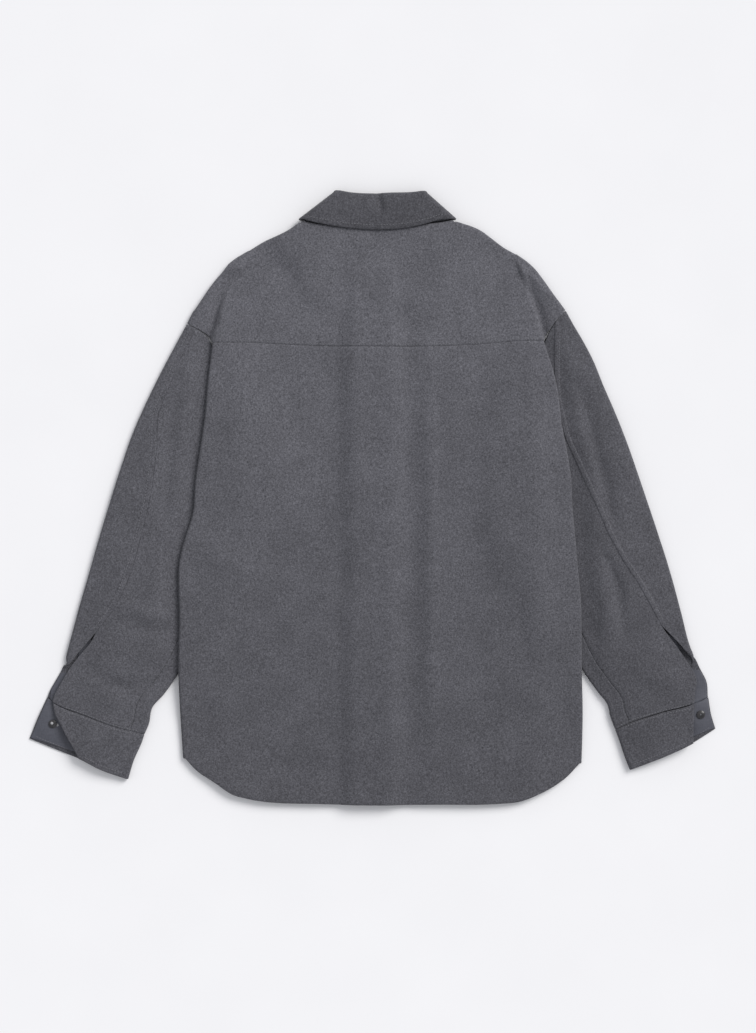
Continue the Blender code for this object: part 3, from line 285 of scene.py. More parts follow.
RIGHT = {
    "sign": 1,
    "hidden_shift": 22,
    "shoulder": [(251, 243.5), (234, 266), (220.6, 284.5), (207.4, 300.5), (198, 308.5), (186, 316.5)],
    "neck_run": [(186, 316.5), (170, 325.5), (154, 337.5), (141, 347), (128, 353.5), (107, 358)],
    "fold": [
        (222, 204), (220.6, 207.5), (214, 231.5), (207.4, 251), (198, 275), (193, 292.5), (187, 304),
        (184, 313.2),
    ],
    "armhole": [
        (251, 243.5), (239, 230), (230, 218), (222, 204), (210, 178), (195, 147), (166, 82), (153, 17),
    ],
    "edge": [
        (222, 204), (230, 179.5), (235.3, 162.5), (240, 140.5), (245.3, 98.5), (254.4, 49.5), (258, 23.5),
        (259.5, -10), (264, -59.5), (267.5, -101), (270, -126), (271.5, -192), (271.8, -232), (273, -282),
        (271.7, -344.5),
    ],
    "outer": [
        (251, 243.5), (260.5, 226), (273.8, 203.5), (285.6, 181), (300, 146), (314.7, 111.5), (327.5, 78.5),
        (347, 23.5), (368.7, -39.5), (387, -97.5), (401.8, -152.5), (413, -194), (426.4, -222),
        (434.7, -238.7), (436.3, -258.7),
    ],
    "inner": [
        (153, 17), (184, -48), (225, -126), (254, -185), (271.3, -220.5), (292, -250.5), (306, -270),
        (308.5, -282), (315.4, -300.3),
    ],
    "back_seam": [
        (237, 227), (236, 180), (238, 130), (245.3, 99), (250, 79), (261.8, 53), (276.4, 20), (292.4, -15),
        (305.6, -46), (323.8, -79.5), (343.7, -109), (360.4, -139), (373.6, -164),
    ],
    "slit_top": [(373.6, -164), (391.6, -182), (403.5, -195), (409.4, -203), (417, -209.5)],
    "flap": [
        (373.6, -164), (376.6, -168.5), (393.5, -191), (411, -216), (418.3, -228), (420.7, -237),
        (418.5, -252), (417, -266),
    ],
    "cuff_seam": [
        (436.3, -258.7), (417, -267.5), (400.5, -272.4), (379.6, -277), (355.7, -284), (337.6, -290),
        (315.4, -300.3),
    ],
    "cuff_outer": [(436.3, -258.7), (439.8, -281), (445.6, -299.5)],
    "cuff_hem": [(445.6, -299.5), (417.3, -317.5), (391.6, -330), (360, -343), (334.4, -353)],
    "cuff_inner": [(315.4, -300.3), (320, -313), (327, -334), (334.4, -353)],
    "cuff_flap": [(417, -267), (416.5, -282), (416, -297), (416, -318)],
    "cuff_button": (426, -281),
}
SIDES = {"left": LEFT, "right": RIGHT}

# Which of the armhole's points the fold and the body's edge leave it from
ARMHOLE_CORNER = 3

# How much of the way to the armhole the back's turned-under cloth reaches: (y, share)
RETURN_LINE = [(200, 0.00), (147, 0.9), (82, 1.0), (17, 0.96), (-40, 0.8), (-75, 0.36), (-110, 0.0)]

COLLAR_EDGE = [
    (-88, 360.5), (-77, 357.2), (-62, 354.2), (-44, 351.2), (-23, 349), (5, 347.5), (27, 348), (42, 349.3),
    (57, 352), (72, 355.6), (87, 360), (101.5, 361),
]
COLLAR_FOLD = [(-43, 395.8), (-34, 394), (-5, 391.5), (23, 392.5), (57, 394), (64, 395)]
STAND_SEAM = [(-82, 358.5), (-45, 355.4), (7, 354.4), (60, 356), (95, 360)]
COLLAR_EDGE_FRONT = [(88, 360.5), (78, 320), (55, 262)]
COLLAR_FOLD_FRONT = [(43, 395.8), (40, 372), (25, 345), (4, 326)]
STAND_SEAM_FRONT = [(82, 358.5), (78, 344), (56, 323), (27, 307), (5, 302)]
# A front's own side edge, from the underarm to where the back's edge hides it, and below that
FRONT_SIDE = [(126, 15), (136, -12), (150, -42), (205, -80)]
FRONT_SIDE_SHARES = [0.61, 0.67, 0.74, 0.82, 0.91, 1.0]
FRONT_HEM_Y = -395.0

# Creases: points (x, y) along each, then its half width and height (a trough is negative)
BACK_FOLDS = [
    ((-24, 192), (-24, 90), (-31, -10), 16, 2.0),
    ((-66, 192), (-64, 90), (-62, -10), 20, -1.6),
    ((74, 188), (76, -60), (77, -335), 10, 2.7),
    ((50, 188), (52, -60), (52, -335), 13, -1.9),
    ((134, 180), (136, -60), (138, -345), 24, -2.3),
    ((207, 190), (212, -40), (214, -345), 19, 2.3),
    ((-172, 175), (-176, 90), (-166, 10), 20, 1.8),
    ((-120, 140), (-112, 90), (-104, 30), 22, -1.2),
    ((-215, -20), (-185, -48), (-140, -60), 16, -1.8),
    ((-225, -70), (-180, -92), (-120, -104), 14, 1.5),
    ((-60, -60), (-20, -120), (10, -190), 22, -1.2),
    ((-150, -180), (-120, -240), (-112, -310), 24, 1.4),
    ((-195, -330), (-130, -345), (-60, -352), 22, -1.6),
    ((20, -260), (24, -320), (22, -380), 18, 1.2),
]
YOKE_FOLDS = [
    ((-70, 325), (-84, 295), (-80, 250), 22, 1.7),
    ((-152, 308), (-122, 300), (-92, 288), 15, -1.6),
    ((186, 300), (168, 275), (150, 240), 22, -2.1),
    ((30, 335), (24, 290), (30, 240), 30, 1.0),
]
SLEEVE_FOLDS = {
    "left": [
        ((330, -140), (292, -150), (254, -154), 7, 3.4),
        ((318, -166), (286, -171), (254, -170), 6, -3.6),
        ((308, -208), (282, -202), (256, -192), 8, 2.6),
        ((366, -222), (322, -246), (276, -236), 9, -3.4),
        ((360, -246), (330, -266), (300, -268), 8, 1.6),
        ((254, 150), (262, 60), (268, -60), 11, -3.0),
        ((316, 40), (330, -30), (346, -100), 13, 2.0),
        ((272, -70), (300, -96), (330, -110), 8, -2.0),
        ((256, -96), (272, -112), (292, -122), 6, 1.8),
    ],
    "right": [
        ((240, 157), (270, 140), (278, 107), (287, 75), (299, 30), (309, -16), (319, -42), 8, -5.2),
        ((304, 120), (322, 62), (330, 30), (340, -20), 13, 3.4),
        ((294, -62), (309, -92), (321, -126), (323, -159), (330, -183), 7, -3.6),
        ((261, -31), (266, -69), (271, -107), (280, -126), (294, -147), 6, -3.4),
        ((270, -150), (284, -168), (298, -186), 6, -2.8),
        ((300, -120), (306, -150), (312, -180), 8, 2.0),
        ((356, -60), (376, -120), (392, -170), 11, 1.6),
        ((330, -200), (356, -226), (392, -240), 12, 2.2),
    ],
}
TAPER_END = 0.04

# How far a seam's doubled cloth stands up beside it, and how wide it is
WELT_MIDDLE = 2.75
WELT_FLAT = 1.75
WELT_SLOPE = 1.4
WELT_END = 12.0
WELT_RISE = {"left": 0.35, "right": 1.0}

# How the yoke is drawn in under the collar's tips
NECK_TUCK = 2.5
NECK_TIGHT = 0.85
NECK_TUCK_HALF = 0.035

# The drop-shoulder cap's folds, and the groove beside the body
CAP_FOLDS = {
    "left": [
        ((193, 295), (182, 299.5), (169, 300), 5, 2.8),
        ((191, 285), (182, 288), (172, 288), 6, -2.0),
    ],
    "right": [],
}
CAP_GROOVE = 2.6
CAP_GROOVE_HALF = 6.0
CAP_GROOVE_OUT = 6.0

# How full the collar's fall is, and its creases
FALL_WALL = 2.6
FALL_BULGE = 1.6
BULGE_REACH = 1.25
BULGE_POWER = 0.8
FALL_RIPPLE = 0.5
FALL_DENTS = [
    ((5, 397), (9, 386), (12, 370), 4.5, -3.4),
    ((-7, 396), (-4, 384), (-2, 368), 6, 1.4),
    ((-52, 372), (-40, 366), (-28, 362), 7, -0.8),
]

# The wool's unevenness: cell size, height and seed
RIPPLES = [(46, 0.55, 3), (21, 0.22, 5)]
NOISE_CELLS = 80
NOISE_SHIFT = (40.37, 40.71)

# Stitches: their spacing and thread, then where each row runs and the marks on the cuffs' backing
STITCH_PITCH = 3.8
STITCH_PLACES = (0.14, 0.5, 0.86)
STITCH_SWELL = (0.45, 1.0, 0.45)
THREAD_SIDES = 6
THREAD_RADIUS = 0.4
THREAD_LIFT = 0.25
COLLAR_STITCH_IN = 6.0
EDGE_STITCH_IN = 2.6
ARM_STITCH_IN = 9.0
SEAM_STITCH_IN = 6.5
COLLAR_RUN = (0.02, 0.98)
YOKE_RUN = (0.01, 0.99)
SLEEVE_RUN = (0.02, 0.99)
CUFF_RUN = (0.2, 0.95)
ARM_RUN = (0.04, 0.9)
FACING_STITCH_START = 0.05
FLAP_GAP = 0.04
# Two knots of pale thread behind the left cuff's button; their paleness is a painted highlight
BACKING_GLINT_KNOTS = {"left": [(0.9, 1.0), (-6.0, -1.4)], "right": []}
BACKING_CROSS = {"left": [], "right": [(1.6, 1.6), (1.6, -1.6)]}
KNOT_RADIUS = 1.8
KNOT_THICK = 0.6
KNOT_SUNK = 0.3

# Painted shade: each cut of the wool darkened to these values at the hem and at the yoke seam
WOOL_PAINTED_SHADES = {
    "yoke": (1.0, 1.0),
    "back": (0.75, 0.97),
    "collar": (0.68, 0.68),
    "sleeve_left": (0.76, 0.88),
    "sleeve_right": (0.70, 0.80),
}
SHADE_LOW_Y = -398
SHADE_HIGH_Y = 196.5

# Wool: how the fibres lie, how fine they are, and their colours
SLANT = (38, (1, 0.4, 1))
CROSS = (-42, (0.42, 1, 1))
PLAIN = (0, (1, 1, 1))
SLANT_SCALE = 820
CROSS_SCALE = 1150
NAP_SCALE = 900
SLANT_STOPS = [(0.30, (0.044, 0.044, 0.052)), (0.72, (0.162, 0.162, 0.184))]
CROSS_STOPS = [(0.30, (0.030, 0.030, 0.036)), (0.72, (0.192, 0.191, 0.216))]
TUFTS = (400, [(0.32, (0.78,) * 3), (0.68, (1.22,) * 3)])
CLOUDS = (26, [(0.3, (0.92,) * 3), (0.7, (1.08,) * 3)])
WOOL_FINISH = {
    "Roughness": 0.95, "Specular IOR Level": 0.15, "Sheen Weight": 0.12, "Sheen Roughness": 0.5,
}
WOOL_BUMP = (0.55, 0.0006)

# Facing, buttons, threads and the paper below
WARP = (24, (1, 0.08, 1))
WEFT = (24, (0.08, 1, 1))
WEAVE_SCALE = 1400
FACING_STOPS = [(0.35, (0.050, 0.052, 0.068)), (0.65, (0.080, 0.083, 0.104))]
FACING_FINISH = {"Roughness": 0.62, "Sheen Weight": 0.05}
FACING_BUMP = (0.25, 0.0003)
VEINS = (15, (1, 0.5, 1))
VEIN_SCALE = 260
HORN_STOPS = [(0.35, (0.012, 0.012, 0.014)), (0.7, (0.045, 0.043, 0.046))]
HORN_FINISH = {"Roughness": 0.3}
TWIST_SCALE = 2400
THREAD_STOPS = [(0.3, (0.13, 0.13, 0.145)), (0.7, (0.22, 0.22, 0.24))]
# The pale thread's colour is a painted highlight on the cuff's knots
PALE_GLINT_STOPS = [(0.3, (0.26, 0.26, 0.28)), (0.7, (0.50, 0.50, 0.51))]
MATT_FINISH = {"Roughness": 0.9, "Specular IOR Level": 0.1}
PAPER_SCALE = 6.0
PAPER_STOPS = [(0.3, (0.812, 0.810, 0.832)), (0.7, (0.827, 0.825, 0.847))]
NOISE_ROUGHNESS = 0.6
NOISE_DETAIL = 3.0
COARSE_DETAIL = 2.0
FINE_DETAIL = 4.0

# Light, floor and camera
WORLD_COLOUR = (0.96, 0.975, 1.0, 1)
WORLD_STRENGTH = 0.64
SUN_COLOUR = (1.0, 0.985, 0.96)
SUN_FROM = (0.66, 0.62, 0.66)
SUN_ANGLE = 30
SUN_STRENGTH = 2.6
FLOOR_HALF = 6.0
FLOOR_DROP = 0.0002
CAMERA_UP = 3.0
CAMERA_SENSOR = 36.0
CAMERA_REACH = 50
PICTURE_HIGH = 1033 * 1.3
PICTURE_MIDDLE = (7.4, -24.0)

# The record's slot for each material that isn't wool
SLOTS = {"facing_weave": "facing", "button_resin": "button", "pale_thread": "facing"}

# Each cloth's cut in metres: width, length and area, how it is held, and what it lies on
CUTS = {
    "front_left": (0.26, 0.735, 0.148, "laid", ["floor"]),
    "front_right": (0.28, 0.735, 0.165, "laid", ["front_left_dressed"]),
    "back_panel": (0.80, 0.605, 0.337, "laid", ["front_right_dressed", "sleeve_left_top_dressed"]),
    "back_yoke": (0.53, 0.20, 0.072, "laid", ["front_left_dressed", "front_right_dressed"]),
    "collar_stand": (0.40, 0.045, 0.0145, "laid", ["front_left_dressed"]),
    "collar_fall": (0.43, 0.065, 0.022, "folded", ["collar_stand_dressed", "back_yoke_dressed"]),
    "sleeve_left_top": (0.27, 0.60, 0.102, "laid", ["floor"]),
    "sleeve_left_under": (0.16, 0.56, 0.054, "laid", ["sleeve_left_top_dressed"]),
    "sleeve_right_top": (0.27, 0.61, 0.108, "laid", ["floor"]),
    "sleeve_right_under": (0.14, 0.56, 0.043, "laid", ["sleeve_right_top_dressed"]),
    "cuff_left": (0.245, 0.065, 0.014, "laid", ["floor"]),
    "cuff_right": (0.225, 0.062, 0.0122, "laid", ["floor"]),
    "cuff_facing_left": (0.062, 0.058, 0.0029, "laid", ["cuff_left_dressed"]),
    "cuff_facing_right": (0.045, 0.052, 0.0018, "laid", ["cuff_right_dressed"]),
    "slit_facing_left": (0.022, 0.085, 0.0018, "laid", ["sleeve_left_top_dressed"]),
    "slit_facing_right": (0.024, 0.090, 0.0021, "laid", ["sleeve_right_top_dressed"]),
}

# What has been made: pieces by name, the rows sewn on each, and their surfaces
pieces = {}
stitched = {}
surfaces = {}


def value_noise(x, y, size, seed):
    """Smooth heights from -1 to 1 over cells of that size, the same in every run."""
    values = np.random.default_rng(seed).uniform(-1, 1, (NOISE_CELLS, NOISE_CELLS))
    u = np.asarray(x, float) / size + NOISE_SHIFT[0]
    v = np.asarray(y, float) / size + NOISE_SHIFT[1]
    i, j = np.floor(u).astype(int), np.floor(v).astype(int)
    a, b = smooth(u - i), smooth(v - j)
    low = values[i, j] * (1 - a) + values[i + 1, j] * a
    high = values[i, j + 1] * (1 - a) + values[i + 1, j + 1] * a
    return low * (1 - b) + high * b


def ripple(x, y):
    """The slight unevenness that pressed wool keeps."""
    return sum(height * value_noise(x, y, size, seed) for size, height, seed in RIPPLES)


def even(count):
    """Evenly spaced shares from 0 to 1."""
    return np.linspace(0, 1, count)


def finer(values, parts=FINE):
    """Sets parts steps between each two values."""
    values = np.asarray(values, float)
    places = np.arange((len(values) - 1) * parts + 1) / parts
    return np.interp(places, np.arange(len(values)), values)


def smooth(share):
    """Goes softly from 0 to 1 as share does."""
    held = np.clip(share, 0, 1)
    return held * held * (3 - 2 * held)


def band(value, half, fade):
    """1 within half of zero, and softly down to 0 over fade."""
    return 1 - smooth((np.abs(value) - half) / fade)


class Curve:
    """A smooth line through given points, read by the share of its length."""

    def __init__(self, points):
        self.points = np.array(points, float)
        steps = np.linalg.norm(np.diff(self.points, axis=0), axis=1)
        self.length = steps.sum()
        self.knots = np.concatenate([[0.0], np.cumsum(steps)]) / self.length
        rates = np.diff(self.points, axis=0) / np.diff(self.knots)[:, None]
        before, after = np.diff(self.knots)[:-1, None], np.diff(self.knots)[1:, None]
        inside = (rates[:-1] * after + rates[1:] * before) / (before + after)
        self.rates = np.vstack([rates[:1], inside, rates[-1:]])

    def at(self, share):
        share = np.clip(np.asarray(share, float), 0, 1)
        i = np.clip(np.searchsorted(self.knots, share, side="right") - 1, 0, len(self.knots) - 2)
        span = self.knots[i + 1] - self.knots[i]
        t = ((share - self.knots[i]) / span)[..., None]
        span = span[..., None]
        start, end = self.points[i], self.points[i + 1]
        rise = (2 * t**3 - 3 * t**2 + 1) * start + (3 * t**2 - 2 * t**3) * end
        pull = (t**3 - 2 * t**2 + t) * self.rates[i] + (t**3 - t**2) * self.rates[i + 1]
        return rise + pull * span

    def away(self, share):
        """The level normal to the left of the way that the curve runs."""
        ahead, behind = np.minimum(share + AWAY_STEP, 1), np.maximum(share - AWAY_STEP, 0)
        along = self.at(ahead) - self.at(behind)
        along /= np.linalg.norm(along, axis=-1, keepdims=True)
        return np.stack([-along[..., 1], along[..., 0]], axis=-1)


def beyond(points, out, y):
    """How far (out, y) lies outward of a line that runs down the garment."""
    out, y = np.broadcast_arrays(np.asarray(out, float), np.asarray(y, float))
    place = np.stack([out, y], axis=-1)[..., None, :]
    start, run = points[:-1], np.diff(points, axis=0)
    share = np.clip(((place - start) * run).sum(-1) / (run * run).sum(-1), 0, 1)
    gap = place - (start + share[..., None] * run)
    distance = np.linalg.norm(gap, axis=-1)
    nearest = distance.argmin(-1)[..., None]
    side = gap[..., 1] * run[:, 0] - gap[..., 0] * run[:, 1]
    sign = np.sign(np.take_along_axis(side, nearest, -1))[..., 0]
    return np.take_along_axis(distance, nearest, -1)[..., 0] * np.where(sign == 0, 1, sign)


def folds_at(folds, x, y):
    """The height that soft folds add at (x, y)."""
    shares = even(FOLD_STEPS)
    total = np.zeros(np.broadcast(x, y).shape)
    for *points, half_width, height in folds:
        line = Curve(points).at(shares)
        gaps = np.hypot(np.asarray(x)[..., None] - line[:, 0], np.asarray(y)[..., None] - line[:, 1])
        along = np.clip(shares[gaps.argmin(-1)], TAPER_END, 1 - TAPER_END)
        taper = np.sqrt(np.sin(math.pi * along))
        total = total + height * taper * np.exp(-((beyond(line, x, y) / half_width) ** 2))
    return total


def tuck_rise(table, out, y):
    """How much the sleeve and the turned-under cloth below lift the back."""
    inside = np.maximum(0, -beyond(table["tuck_line"], out, y))
    fade = 1 - smooth((y - TUCK_TOP) / TUCK_TOP_FADE)
    return TUCK_RISE * fade * (1 - smooth(inside / TUCK_FADE))


def leaf_rise(out, y):
    """How much the collar's front leaf lifts what lies on it."""
    return PLY * band(beyond(np.array(LEAF_CORE, float), out, y), LEAF_HALF, LEAF_FADE)


def either(a, b):
    """A soft maximum of two heights."""
    return (a**4 + b**4 + SOFTEST) ** 0.25


def placket_share(x, y):
    """1 where the fronts lap at the centre, going down to 0 beside and above it."""
    return band(x, BAND_HALF, BAND_FADE) * (1 - smooth((y - PLACKET_TOP) / PLACKET_TOP_FADE))


def tuck_at(x, y):
    """The tuck's rise of the side that x is on."""
    left = tuck_rise(LEFT, -x, y)
    right = tuck_rise(RIGHT, x, y)
    return np.where(x < 0, left, right)


def front_height(x, y, lapped):
    """The middle of a front's cloth."""
    y = np.asarray(y, float)
    under = tuck_at(x, y) * smooth((UNDERARM_Y - y) / UNDERARM_FADE)
    rise = either(BUTTON_RISE * placket_share(x, y), leaf_rise(abs(x), y))
    if lapped:
        rise = rise + LAP_RISE * placket_share(x, y)
    return FLOOR_MID + rise + under


def return_height(x, y):
    """The middle of the cloth that the back turns under at its sides."""
    return FLOOR_MID + either(tuck_at(x, y), leaf_rise(abs(x), y))


def back_height(x, y):
    """The middle of the back's cloth."""
    within = np.minimum(-beyond(LEFT["body_line"], -x, y), -beyond(RIGHT["body_line"], x, y))
    lift = BODY_LIFT_EDGE + (BODY_LIFT_MID - BODY_LIFT_EDGE) * smooth(within / BODY_LIFT_IN)
    lift = lift - MIDDLE_SINK * band(x, BAND_HALF, MIDDLE_FADE)
    folds = folds_at(BACK_FOLDS, x, y) * smooth(within / BODY_FOLDS_IN) + folds_at(YOKE_FOLDS, x, y)
    lift = np.maximum(lift + folds + ripple(x, y), BODY_LIFT_LEAST)
    rise = either((BUTTON_RISE + LAP_RISE) * placket_share(x, y), leaf_rise(abs(x), y))
    return FLOOR_MID + PLY + rise + tuck_at(x, y) + lift


def welt_at(side, out, y):
    """The doubled cloth beside the back seam, on its outer side."""
    table = SIDES[side]
    gap = beyond(np.array(table["back_seam"], float), out, y) - WELT_MIDDLE
    above = smooth((np.asarray(y, float) - table["back_seam"][-1][1]) / WELT_END)
    return WELT_RISE[side] * band(gap, WELT_FLAT, WELT_SLOPE) * above


def cuff_rise(table, out, y):
    """How much the cuff's button, which lies on the floor, lifts the cloth over it."""
    at = table["cuff_button"]
    distance = np.hypot(out - at[0], y - at[1])
    return CUFF_BUTTON_RISE * band(distance, CUFF_RISE_HALF, CUFF_RISE_FADE)


def sleeve_height(side, out, y):
    """The middle of a sleeve's upper ply."""
    table = SIDES[side]
    clear = beyond(table["body_line"], out, y)
    pressed = 1 - smooth((np.asarray(y, float) - PRESSED_TOP) / PRESSED_FADE)
    open_share = 1 - (1 - smooth((clear - OPEN_FROM) / OPEN_FADE)) * pressed
    from_outer = -beyond(table["outer_line"], out, y)
    from_inner = beyond(table["inner_line"], out, y)
    crown = smooth(from_outer / CROWN_IN) * smooth(from_inner / CROWN_IN)
    folds = folds_at(SLEEVE_FOLDS[side], out, y) + ripple(out * table["sign"], y)
    loft = SLEEVE_LOFT_EDGE + SLEEVE_LOFT_MID * crown + folds
    lifted = open_share * np.maximum(loft, SLEEVE_LOFT_LEAST)
    return SLEEVE_MID + lifted + cuff_rise(table, out, y) + welt_at(side, out, y)


def patch(left, right, bottom, top, across, up):
    """Fills the four-sided area between curves with rows and columns of (out, y) points."""
    u, v = across[None, :, None], up[:, None, None]
    sides = (1 - u) * left(up)[:, None] + u * right(up)[:, None]
    ends = (1 - v) * bottom(across)[None] + v * top(across)[None]
    low, high = bottom(np.array([0.0, 1.0])), top(np.array([0.0, 1.0]))
    corners = (1 - v) * ((1 - u) * low[0] + u * low[1]) + v * ((1 - u) * high[0] + u * high[1])
    return sides + ends - corners


def run_of(curve, start=0.0, end=1.0, shift=0.0):
    """A stretch of a curve as a function of its own share, moved to its left by shift."""

    def at(share):
        here = start + (end - start) * np.asarray(share, float)
        return curve.at(here) + shift * curve.away(here)

    return at


def roll(edge, outward, low, high, steps):
    """Half-round points from the height high to low, bulging outward from an edge's (x, y) points."""
    radius, middle = (high - low) / 2, (high + low) / 2
    found = []
    for angle in steps:
        turn = math.radians(angle)
        place = edge + outward * (radius * math.cos(turn))[:, None]
        found.append(np.column_stack([place, middle + radius * math.sin(turn)]))
    return found


def eased(grid, keep):
    """Adds a row and a column close inside each edge, so that the edge can be rounded there."""
    for axis in (0, 1):
        grid, keep = np.swapaxes(grid, 0, axis), np.swapaxes(keep, 0, axis)
        near = grid[0] + (grid[1] - grid[0]) * EDGE_CELL
        far = grid[-1] + (grid[-2] - grid[-1]) * EDGE_CELL
        grid = np.concatenate([grid[:1], near[None], grid[1:-1], far[None], grid[-1:]])
        keep = np.concatenate([keep[:1], keep, keep[-1:]])
        grid, keep = np.swapaxes(grid, 0, axis), np.swapaxes(keep, 0, axis)
    return grid, keep


def normals_of(grid):
    """A level-handed normal at each point, from its neighbours on both sides."""
    down, across = np.gradient(grid, axis=0), np.gradient(grid, axis=1)
    normal = np.cross(across, down)
    return normal / np.linalg.norm(normal, axis=-1, keepdims=True)


def wall(name, grid, material, thickness=WALL, keep=None):
    """Makes the closed, eased wall of rows and columns of middle points, in millimetres."""
    if keep is None:
        keep = np.ones((grid.shape[0] - 1, grid.shape[1] - 1), bool)
    grid, keep = eased(grid, keep)
    normal = normals_of(grid)
    rows, columns = grid.shape[:2]
    share = np.ones((rows, columns, 1))
    share[0] = share[-1] = EDGE_THICKNESS
    share[:, 0] = share[:, -1] = EDGE_THICKNESS
    reach = normal * share * thickness / 2
    points = np.concatenate([(grid + reach).reshape(-1, 3), (grid - reach).reshape(-1, 3)])
    count = rows * columns
    faces, edges = [], set()
    for r in range(rows - 1):
        for c in range(columns - 1):
            if not keep[r, c]:
                continue
            a = r * columns + c
            loop = (a, a + 1, a + columns + 1, a + columns)
            faces.append(loop)
            faces.append(tuple(corner + count for corner in loop[::-1]))
            edges.update(zip(loop, loop[1:] + loop[:1]))
    for a, b in sorted(edges):
        if (b, a) not in edges:
            faces.append((b, a, a + count, b + count))
    used = sorted({corner for face in faces for corner in face})
    number = {corner: k for k, corner in enumerate(used)}
    faces = [tuple(number[corner] for corner in face) for face in faces]
    return solid(name, points[used], faces, material)


def solid(name, points, faces, material):
    """A piece that rides on the garment and stands for the CAD node of the same name."""
    mesh = bpy.data.meshes.new(name)
    mesh.from_pydata((np.asarray(points) * MM).tolist(), [], faces)
    shaped = bmesh.new()
    shaped.from_mesh(mesh)
    bmesh.ops.recalc_face_normals(shaped, faces=shaped.faces)
    shaped.to_mesh(mesh)
    shaped.free()
    mesh.shade_smooth()
    mesh.materials.append(material)
    obj = bpy.data.objects.new(name + "_dressed", mesh)
    bpy.context.scene.collection.objects.link(obj)
    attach(obj, "root")
    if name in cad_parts:
        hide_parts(name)
    SLOTS.get(material.name, "wool")
    pieces[name] = obj
    return obj


def tube_faces(base, steps, sides):
    """The faces between rings of points, the first of which starts at the number base."""
    faces = []
    for start in range(base, base + steps * sides, sides):
        for k in range(sides):
            a, b = start + k, start + (k + 1) % sides
            faces.append((a, b, b + sides, a + sides))
    return faces


def disc(name, centre, radius, thickness, material):
    """A flat button with eased rims, standing on the height of its centre."""
    ease, sides = DISC_EASE * thickness, DISC_SIDES
    profile = [(radius - ease, 0), (radius, ease), (radius, thickness - ease), (radius - ease, thickness)]
    points = []
    for out, height in profile:
        for k in range(sides):
            turn = 2 * math.pi * k / sides
            level = (centre[0] + out * math.cos(turn), centre[1] + out * math.sin(turn))
            points.append((*level, centre[2] + height))
    faces = [tuple(range(sides - 1, -1, -1)), tuple(range(3 * sides, 4 * sides))]
    solid(name, points, faces + tube_faces(0, 3, sides), material)


def placed(points, sign):
    """A side's points, (out, y) or (out, y, z), in x and y."""
    return points * np.array([sign] + [1.0] * (points.shape[-1] - 1))


def standing(points, height):
    """Level points raised to their heights."""
    return np.concatenate([points, height[..., None]], axis=-1)


def edge_radius(table, share):
    """The radius that the back's cloth turns with at the body's edge."""
    at = placed(table["curves"]["edge"].at(share), table["sign"])
    return (back_height(at[:, 0], at[:, 1]) - return_height(at[:, 0], at[:, 1])) / 2


def body_inset(table, share):
    """The body's edge, moved in to where the back's cloth starts to turn."""
    radius = edge_radius(table, share)[:, None]
    return table["curves"]["edge"].at(share) - LEVEL * (radius + WALL / 2)


def turned_under(table, edge):
    """The end of the cloth that the back turns under, for each row's edge point."""
    heights = [row[0] for row in RETURN_LINE][::-1]
    amounts = [row[1] for row in RETURN_LINE][::-1]
    ys = edge[:, 1]
    armhole = table["armhole_at"](ys)
    full = np.maximum(edge[:, 0] - armhole - WALL, RETURN)
    width = RETURN + (full - RETURN) * np.interp(ys, heights, amounts)
    return edge - LEVEL * width[:, None]


def hidden_edge(line):
    """The armhole, then the sleeve's inner edge, as a distance out for each y."""
    shares = even(EDGE_STEPS)
    arm, inner = line["armhole"].at(shares), line["inner"].at(shares)
    line = np.vstack([arm, inner[1:]])
    order = np.argsort(line[:, 1])

    def at(ys):
        return np.interp(ys, line[order, 1], line[order, 0])

    return at


def prepare():
    """Adds to each side's table its curves and the lines that heights are measured from."""
    shares = even(LINE_STEPS)
    for table in SIDES.values():
        line = {name: Curve(points) for name, points in table.items() if isinstance(points, list)}
        fold_up = line["fold"].at(shares[::-1])
        armhole = line["armhole"].at(np.linspace(TUCK_CORNER_SHARE, 1, ARM_STEPS))
        table["curves"] = line
        table["body_line"] = np.vstack([fold_up, line["edge"].at(shares)[1:]])
        table["tuck_line"] = np.vstack([fold_up, armhole, line["inner"].at(shares)[1:]])
        table["outer_line"] = np.vstack([line["outer"].at(shares), line["cuff_outer"].at(shares)[1:]])
        table["inner_line"] = np.vstack([line["inner"].at(shares), line["cuff_inner"].at(shares)[1:]])
        table["armhole_at"] = hidden_edge(line)


def back_panel(material):
    """The back below the yoke, from side to side, with the cloth that it turns under there."""
    up, across = finer(even(BACK_ROWS), DOWN_FINE), finer(even(BACK_COLUMNS), ACROSS_FINE)
    seam, hem = Curve(YOKE_SEAM), Curve(HEM)

    def left(share):
        return placed(body_inset(LEFT, share), -1)

    def right(share):
        return body_inset(RIGHT, share)

    flat = patch(left, right, seam.at, hem.at, across, up)
    flat[0, :, 1] -= SEAM
    flat = standing(flat, back_height(flat[..., 0], flat[..., 1]))
    columns = [flat[:, c] for c in range(len(across))]
    for table in (LEFT, RIGHT):
        start = flat[:, 0] if table is LEFT else flat[:, -1]
        edge = start[:, :2]
        outward = np.tile([table["sign"], 0.0], (len(edge), 1))
        low = return_height(edge[:, 0], edge[:, 1])
        turned = roll(edge, outward, low, start[:, 2], OVER)
        end = placed(turned_under(table, placed(edge, table["sign"])), table["sign"])
        for share in finer(TURNED)[1:]:
            place = edge + (end - edge) * share
            turned.append(standing(place, return_height(place[:, 0], place[:, 1])))
        columns = turned[::-1] + columns if table is LEFT else columns + turned
    wall("back_panel", np.stack(columns, axis=1), material)


def turn_inset(height):
    """How far inside the outline the cloth of that height starts to turn down to the floor ply."""
    return (height - FLOOR_MID) / 2 + WALL / 2


def near_fold(side, flat):
    """1 on the line that the cap folds along beside the body, going down to 0 away from it."""
    line = SIDES[side]["curves"]["fold"].at(even(ARM_STEPS))
    gap = beyond(line[::-1], flat[..., 0], flat[..., 1]) - CAP_GROOVE_OUT
    return np.exp(-((gap / CAP_GROOVE_HALF) ** 2))


